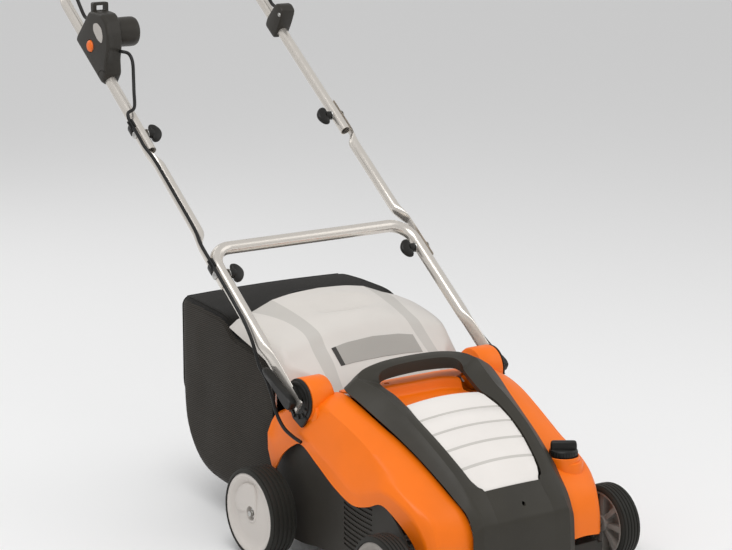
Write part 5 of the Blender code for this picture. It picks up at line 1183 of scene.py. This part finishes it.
def make_deck():
    """Side plates with curved louvres, tunnel, beams and motor saddles."""
    tunnel = arc(ROTOR_Y, ROTOR_Z, 0.078, 44, 144, 30) + arc(ROTOR_Y, ROTOR_Z, 0.074, 44, 144, 30)[::-1]
    floor = mm([(20, 50), (20, 56), (-115, 66), (-115, 60)])
    apron = mm([(-141, 136), (-135, 132), (-62, 232), (-68, 236)])
    shapes = [plate(outline, -DECK_HALF, DECK_HALF) for outline in (tunnel, floor, apron)]
    front = mm([(-426, 34), (-426, 62), (-404, 62), (-404, 40), (-392, 40), (-392, 34)])
    shapes.append(plate(rounded(front, 0.002), -0.19, 0.19))
    for x0 in (-0.2035, 0.1835):
        shapes.append(brick((x0, -0.4235, 0.036), (x0 + 0.02, -0.388, 0.056)))
    saddle = arc(MOTOR_Y, MOTOR_Z, MOTOR_R + 0.0012, -20, -170, 15)
    saddle += arc(MOTOR_Y, MOTOR_Z, MOTOR_R + 0.0075, -190, 115, 15)
    saddle += mm([(-260, 109.5), (-245, 131.8), (-228, 145.6)])
    for x0 in (-0.075, 0.062):
        shapes.append(plate(saddle, x0, x0 + 0.006))
    piece("deck_inside", merge(*shapes), "deck", "chassis", ("deck",))
    outline = rounded(mm([
        (30, 50), (30, 200), (-45, 240), (-80, 248), (-180, 205), (-236, 180), (-300, 190), (-318, 186),
        (-335, 160), (-350, 148), (-376, 122), (-392, 96), (-396, 70), (-396, 36), (-340, 30), (-300, 30),
        (-275, 36), (-105, 36), (-60, 30), (10, 30),
    ]), 0.004, 2)
    axle_slot = mm([(-390, 56), (-371.5, 56), (-371.5, 90), (-390, 90)])
    for side, suffix in SIDES:
        plain = slab(outline, ((side * DECK_HALF, 1.0), (side * 0.205, 1.0)))
        wall = piece("deck_side_" + suffix, plain, "deck", "chassis")
        cutters = []
        for k in range(LOUVRES):
            middle = [
                (-0.19 - 0.088 * t, 0.058 + LOUVRE_PITCH * k + 0.01 * (1 - t) ** 2)
                for t in [j / 8 for j in range(9)]
            ]
            louvre = [(y, z + LOUVRE_HALF) for y, z in middle]
            louvre += [(y, z - LOUVRE_HALF) for y, z in middle[::-1]]
            cutters.append(plate(louvre, side * 0.2025, side * 0.208))
        for radius, depth, y, z in ((0.0058, 0.215, 0, REAR_WHEEL_R), (0.0124, 0.2021, ROTOR_Y, ROTOR_Z)):
            cutters.append(lathe(on_side(peg(radius, 0.19, depth), side), (0, y, z), "X", 32))
        cut(wall, *cutters, plate(axle_slot, side * 0.19, side * 0.215))


def make_dial():
    profile = off(0, DIAL_FLOOR, (0.1, 0.6))
    profile += off(DIAL_R, DIAL_FLOOR, (-3, 0.6), (-0.4, 3), (0, 5.5), (0, 12), (-0.8, 14.2), (-3, 15.8))
    profile += off(0, DIAL_FLOOR, (0.1, 16.5))
    shapes = [lathe(profile, (DIAL_X, DIAL_Y, 0), "Z", 72)]
    rings = []
    for z, half, wide in mm((
        (12, 24.2, 7.8), (24, 23.8, 7), (27.5, 23, 6.2), (29.2, 21.8, 5), (30, 20, 3.4),
    )):
        outline = rounded([(-half, -wide), (half, -wide), (half, wide), (-half, wide)], 0.004)
        rings.append([(x, y, DIAL_FLOOR + z) for x, y in turned(outline, DIAL_TURN, DIAL_X, DIAL_Y)])
    shapes.append(loft(rings))
    for a in turn(28):
        u, v = math.cos(a), math.sin(a)
        x, y = DIAL_X + DIAL_R * u, DIAL_Y + DIAL_R * v
        rib = [(x - 0.0008 * v, y + 0.0008 * u), (x + 0.0007 * u, y + 0.0007 * v),
               (x + 0.0008 * v, y - 0.0008 * u), (x - 0.001 * u, y - 0.001 * v)]
        shapes.append(loft([[(p, q, DIAL_FLOOR + z) for p, q in rib] for z in (0.004, 0.0125)]))
    shapes.append(lathe(peg(0.0048, 0.125, DIAL_FLOOR + 0.002), (DIAL_X, DIAL_Y, 0), "Z", 24))
    piece("dial_cap", merge(*shapes), "black", "depth_dial", ("depth_dial",))


def dress_nodes():
    """Procedural finishes for the CAD nodes that stay visible."""
    finishes = {
        "flap_pin": "steel", "bag_frame": "steel", "rear_axle": "steel", "front_axle": "steel",
        "motor": "motor",
        "motor_shaft": "steel", "motor_pulley": "inner", "rotor_pulley": "inner", "drive_belt": "tyre",
        "rotor_shaft": "steel", "rotor_bearing_left": "steel", "rotor_bearing_right": "steel",
    }
    for name, finish in finishes.items():
        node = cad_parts[name]
        node.data.materials.clear()
        node.data.materials.append(MATS[finish])


# ---- stage ----
def make_stage():
    bpy.ops.mesh.primitive_plane_add(size=80.0, location=(0, 0, -0.0005))
    floor = bpy.context.object
    floor.name = "floor"
    mat, nodes, links, shader = new_material("floor_paint", 0.9)
    shader.inputs["Base Color"].default_value = (0.93, 0.93, 0.93, 1.0)
    floor.data.materials.append(mat)
    world = bpy.data.worlds.new("studio")
    bpy.context.scene.world = world
    world.use_nodes = True
    world.node_tree.nodes["Background"].inputs["Color"].default_value = (1.0, 1.0, 1.0, 1.0)
    world.node_tree.nodes["Background"].inputs["Strength"].default_value = 0.62
    for name, place, size, power in (
        ("key", (-1.2, -1.2, 3.2), 2.0, 44.0), ("fill", (2.6, -1.6, 2.2), 2.4, 14.0),
        ("back", (-0.6, 2.8, 2.4), 2.4, 16.0),
    ):
        light = bpy.data.lights.new(name, "AREA")
        light.shape = "SQUARE"
        light.size = size
        light.energy = power
        lamp = bpy.data.objects.new(name, light)
        lamp.location = place
        aim = Vector((0, 0, 0.35)) - Vector(place)
        lamp.rotation_euler = aim.to_track_quat("-Z", "Y").to_euler()
        bpy.context.scene.collection.objects.link(lamp)
    bpy.context.scene.view_settings.view_transform = "Standard"


def make_camera():
    data = bpy.data.cameras.new("camera")
    data.sensor_width = 36.0
    data.lens = CAMERA_LENS
    camera = bpy.data.objects.new("camera", data)
    camera.location = Vector(CAMERA_PLACE) + OFFSET
    camera.rotation_euler = Vector(CAMERA_AIM).to_track_quat("-Z", "Y").to_euler()
    bpy.context.scene.collection.objects.link(camera)
    bpy.context.scene.camera = camera


make_housing()
make_hood()
make_cover()
make_flap()
make_bag()
make_lower_handle()
make_upper_handle()
for side, suffix in SIDES:
    make_mid_tube(side, suffix)
    for s, level, tube_r, shell_r in (
        (LOWER_KNOB_S, "lower", LEG_R, SHELL_R_LOW), (UPPER_KNOB_S, "upper", TUBE_R, SHELL_R_HIGH),
    ):
        make_knob(s, side, tube_r, level, suffix)
        make_bolt(s, side, tube_r, shell_r, level, suffix)
    make_clamp(side, suffix)
    make_rear_wheel(side, suffix)
    make_front_wheel(side, suffix)
make_switch_box()
make_bail()
make_bracket()
make_cables()
make_clip("upper", 0.703, TUBE_R, SHELL_R_HIGH)
make_clip("lower", 0.33, LEG_R, SHELL_R_LOW)
make_deck()
make_dial()
dress_nodes()
make_stage()
make_camera()
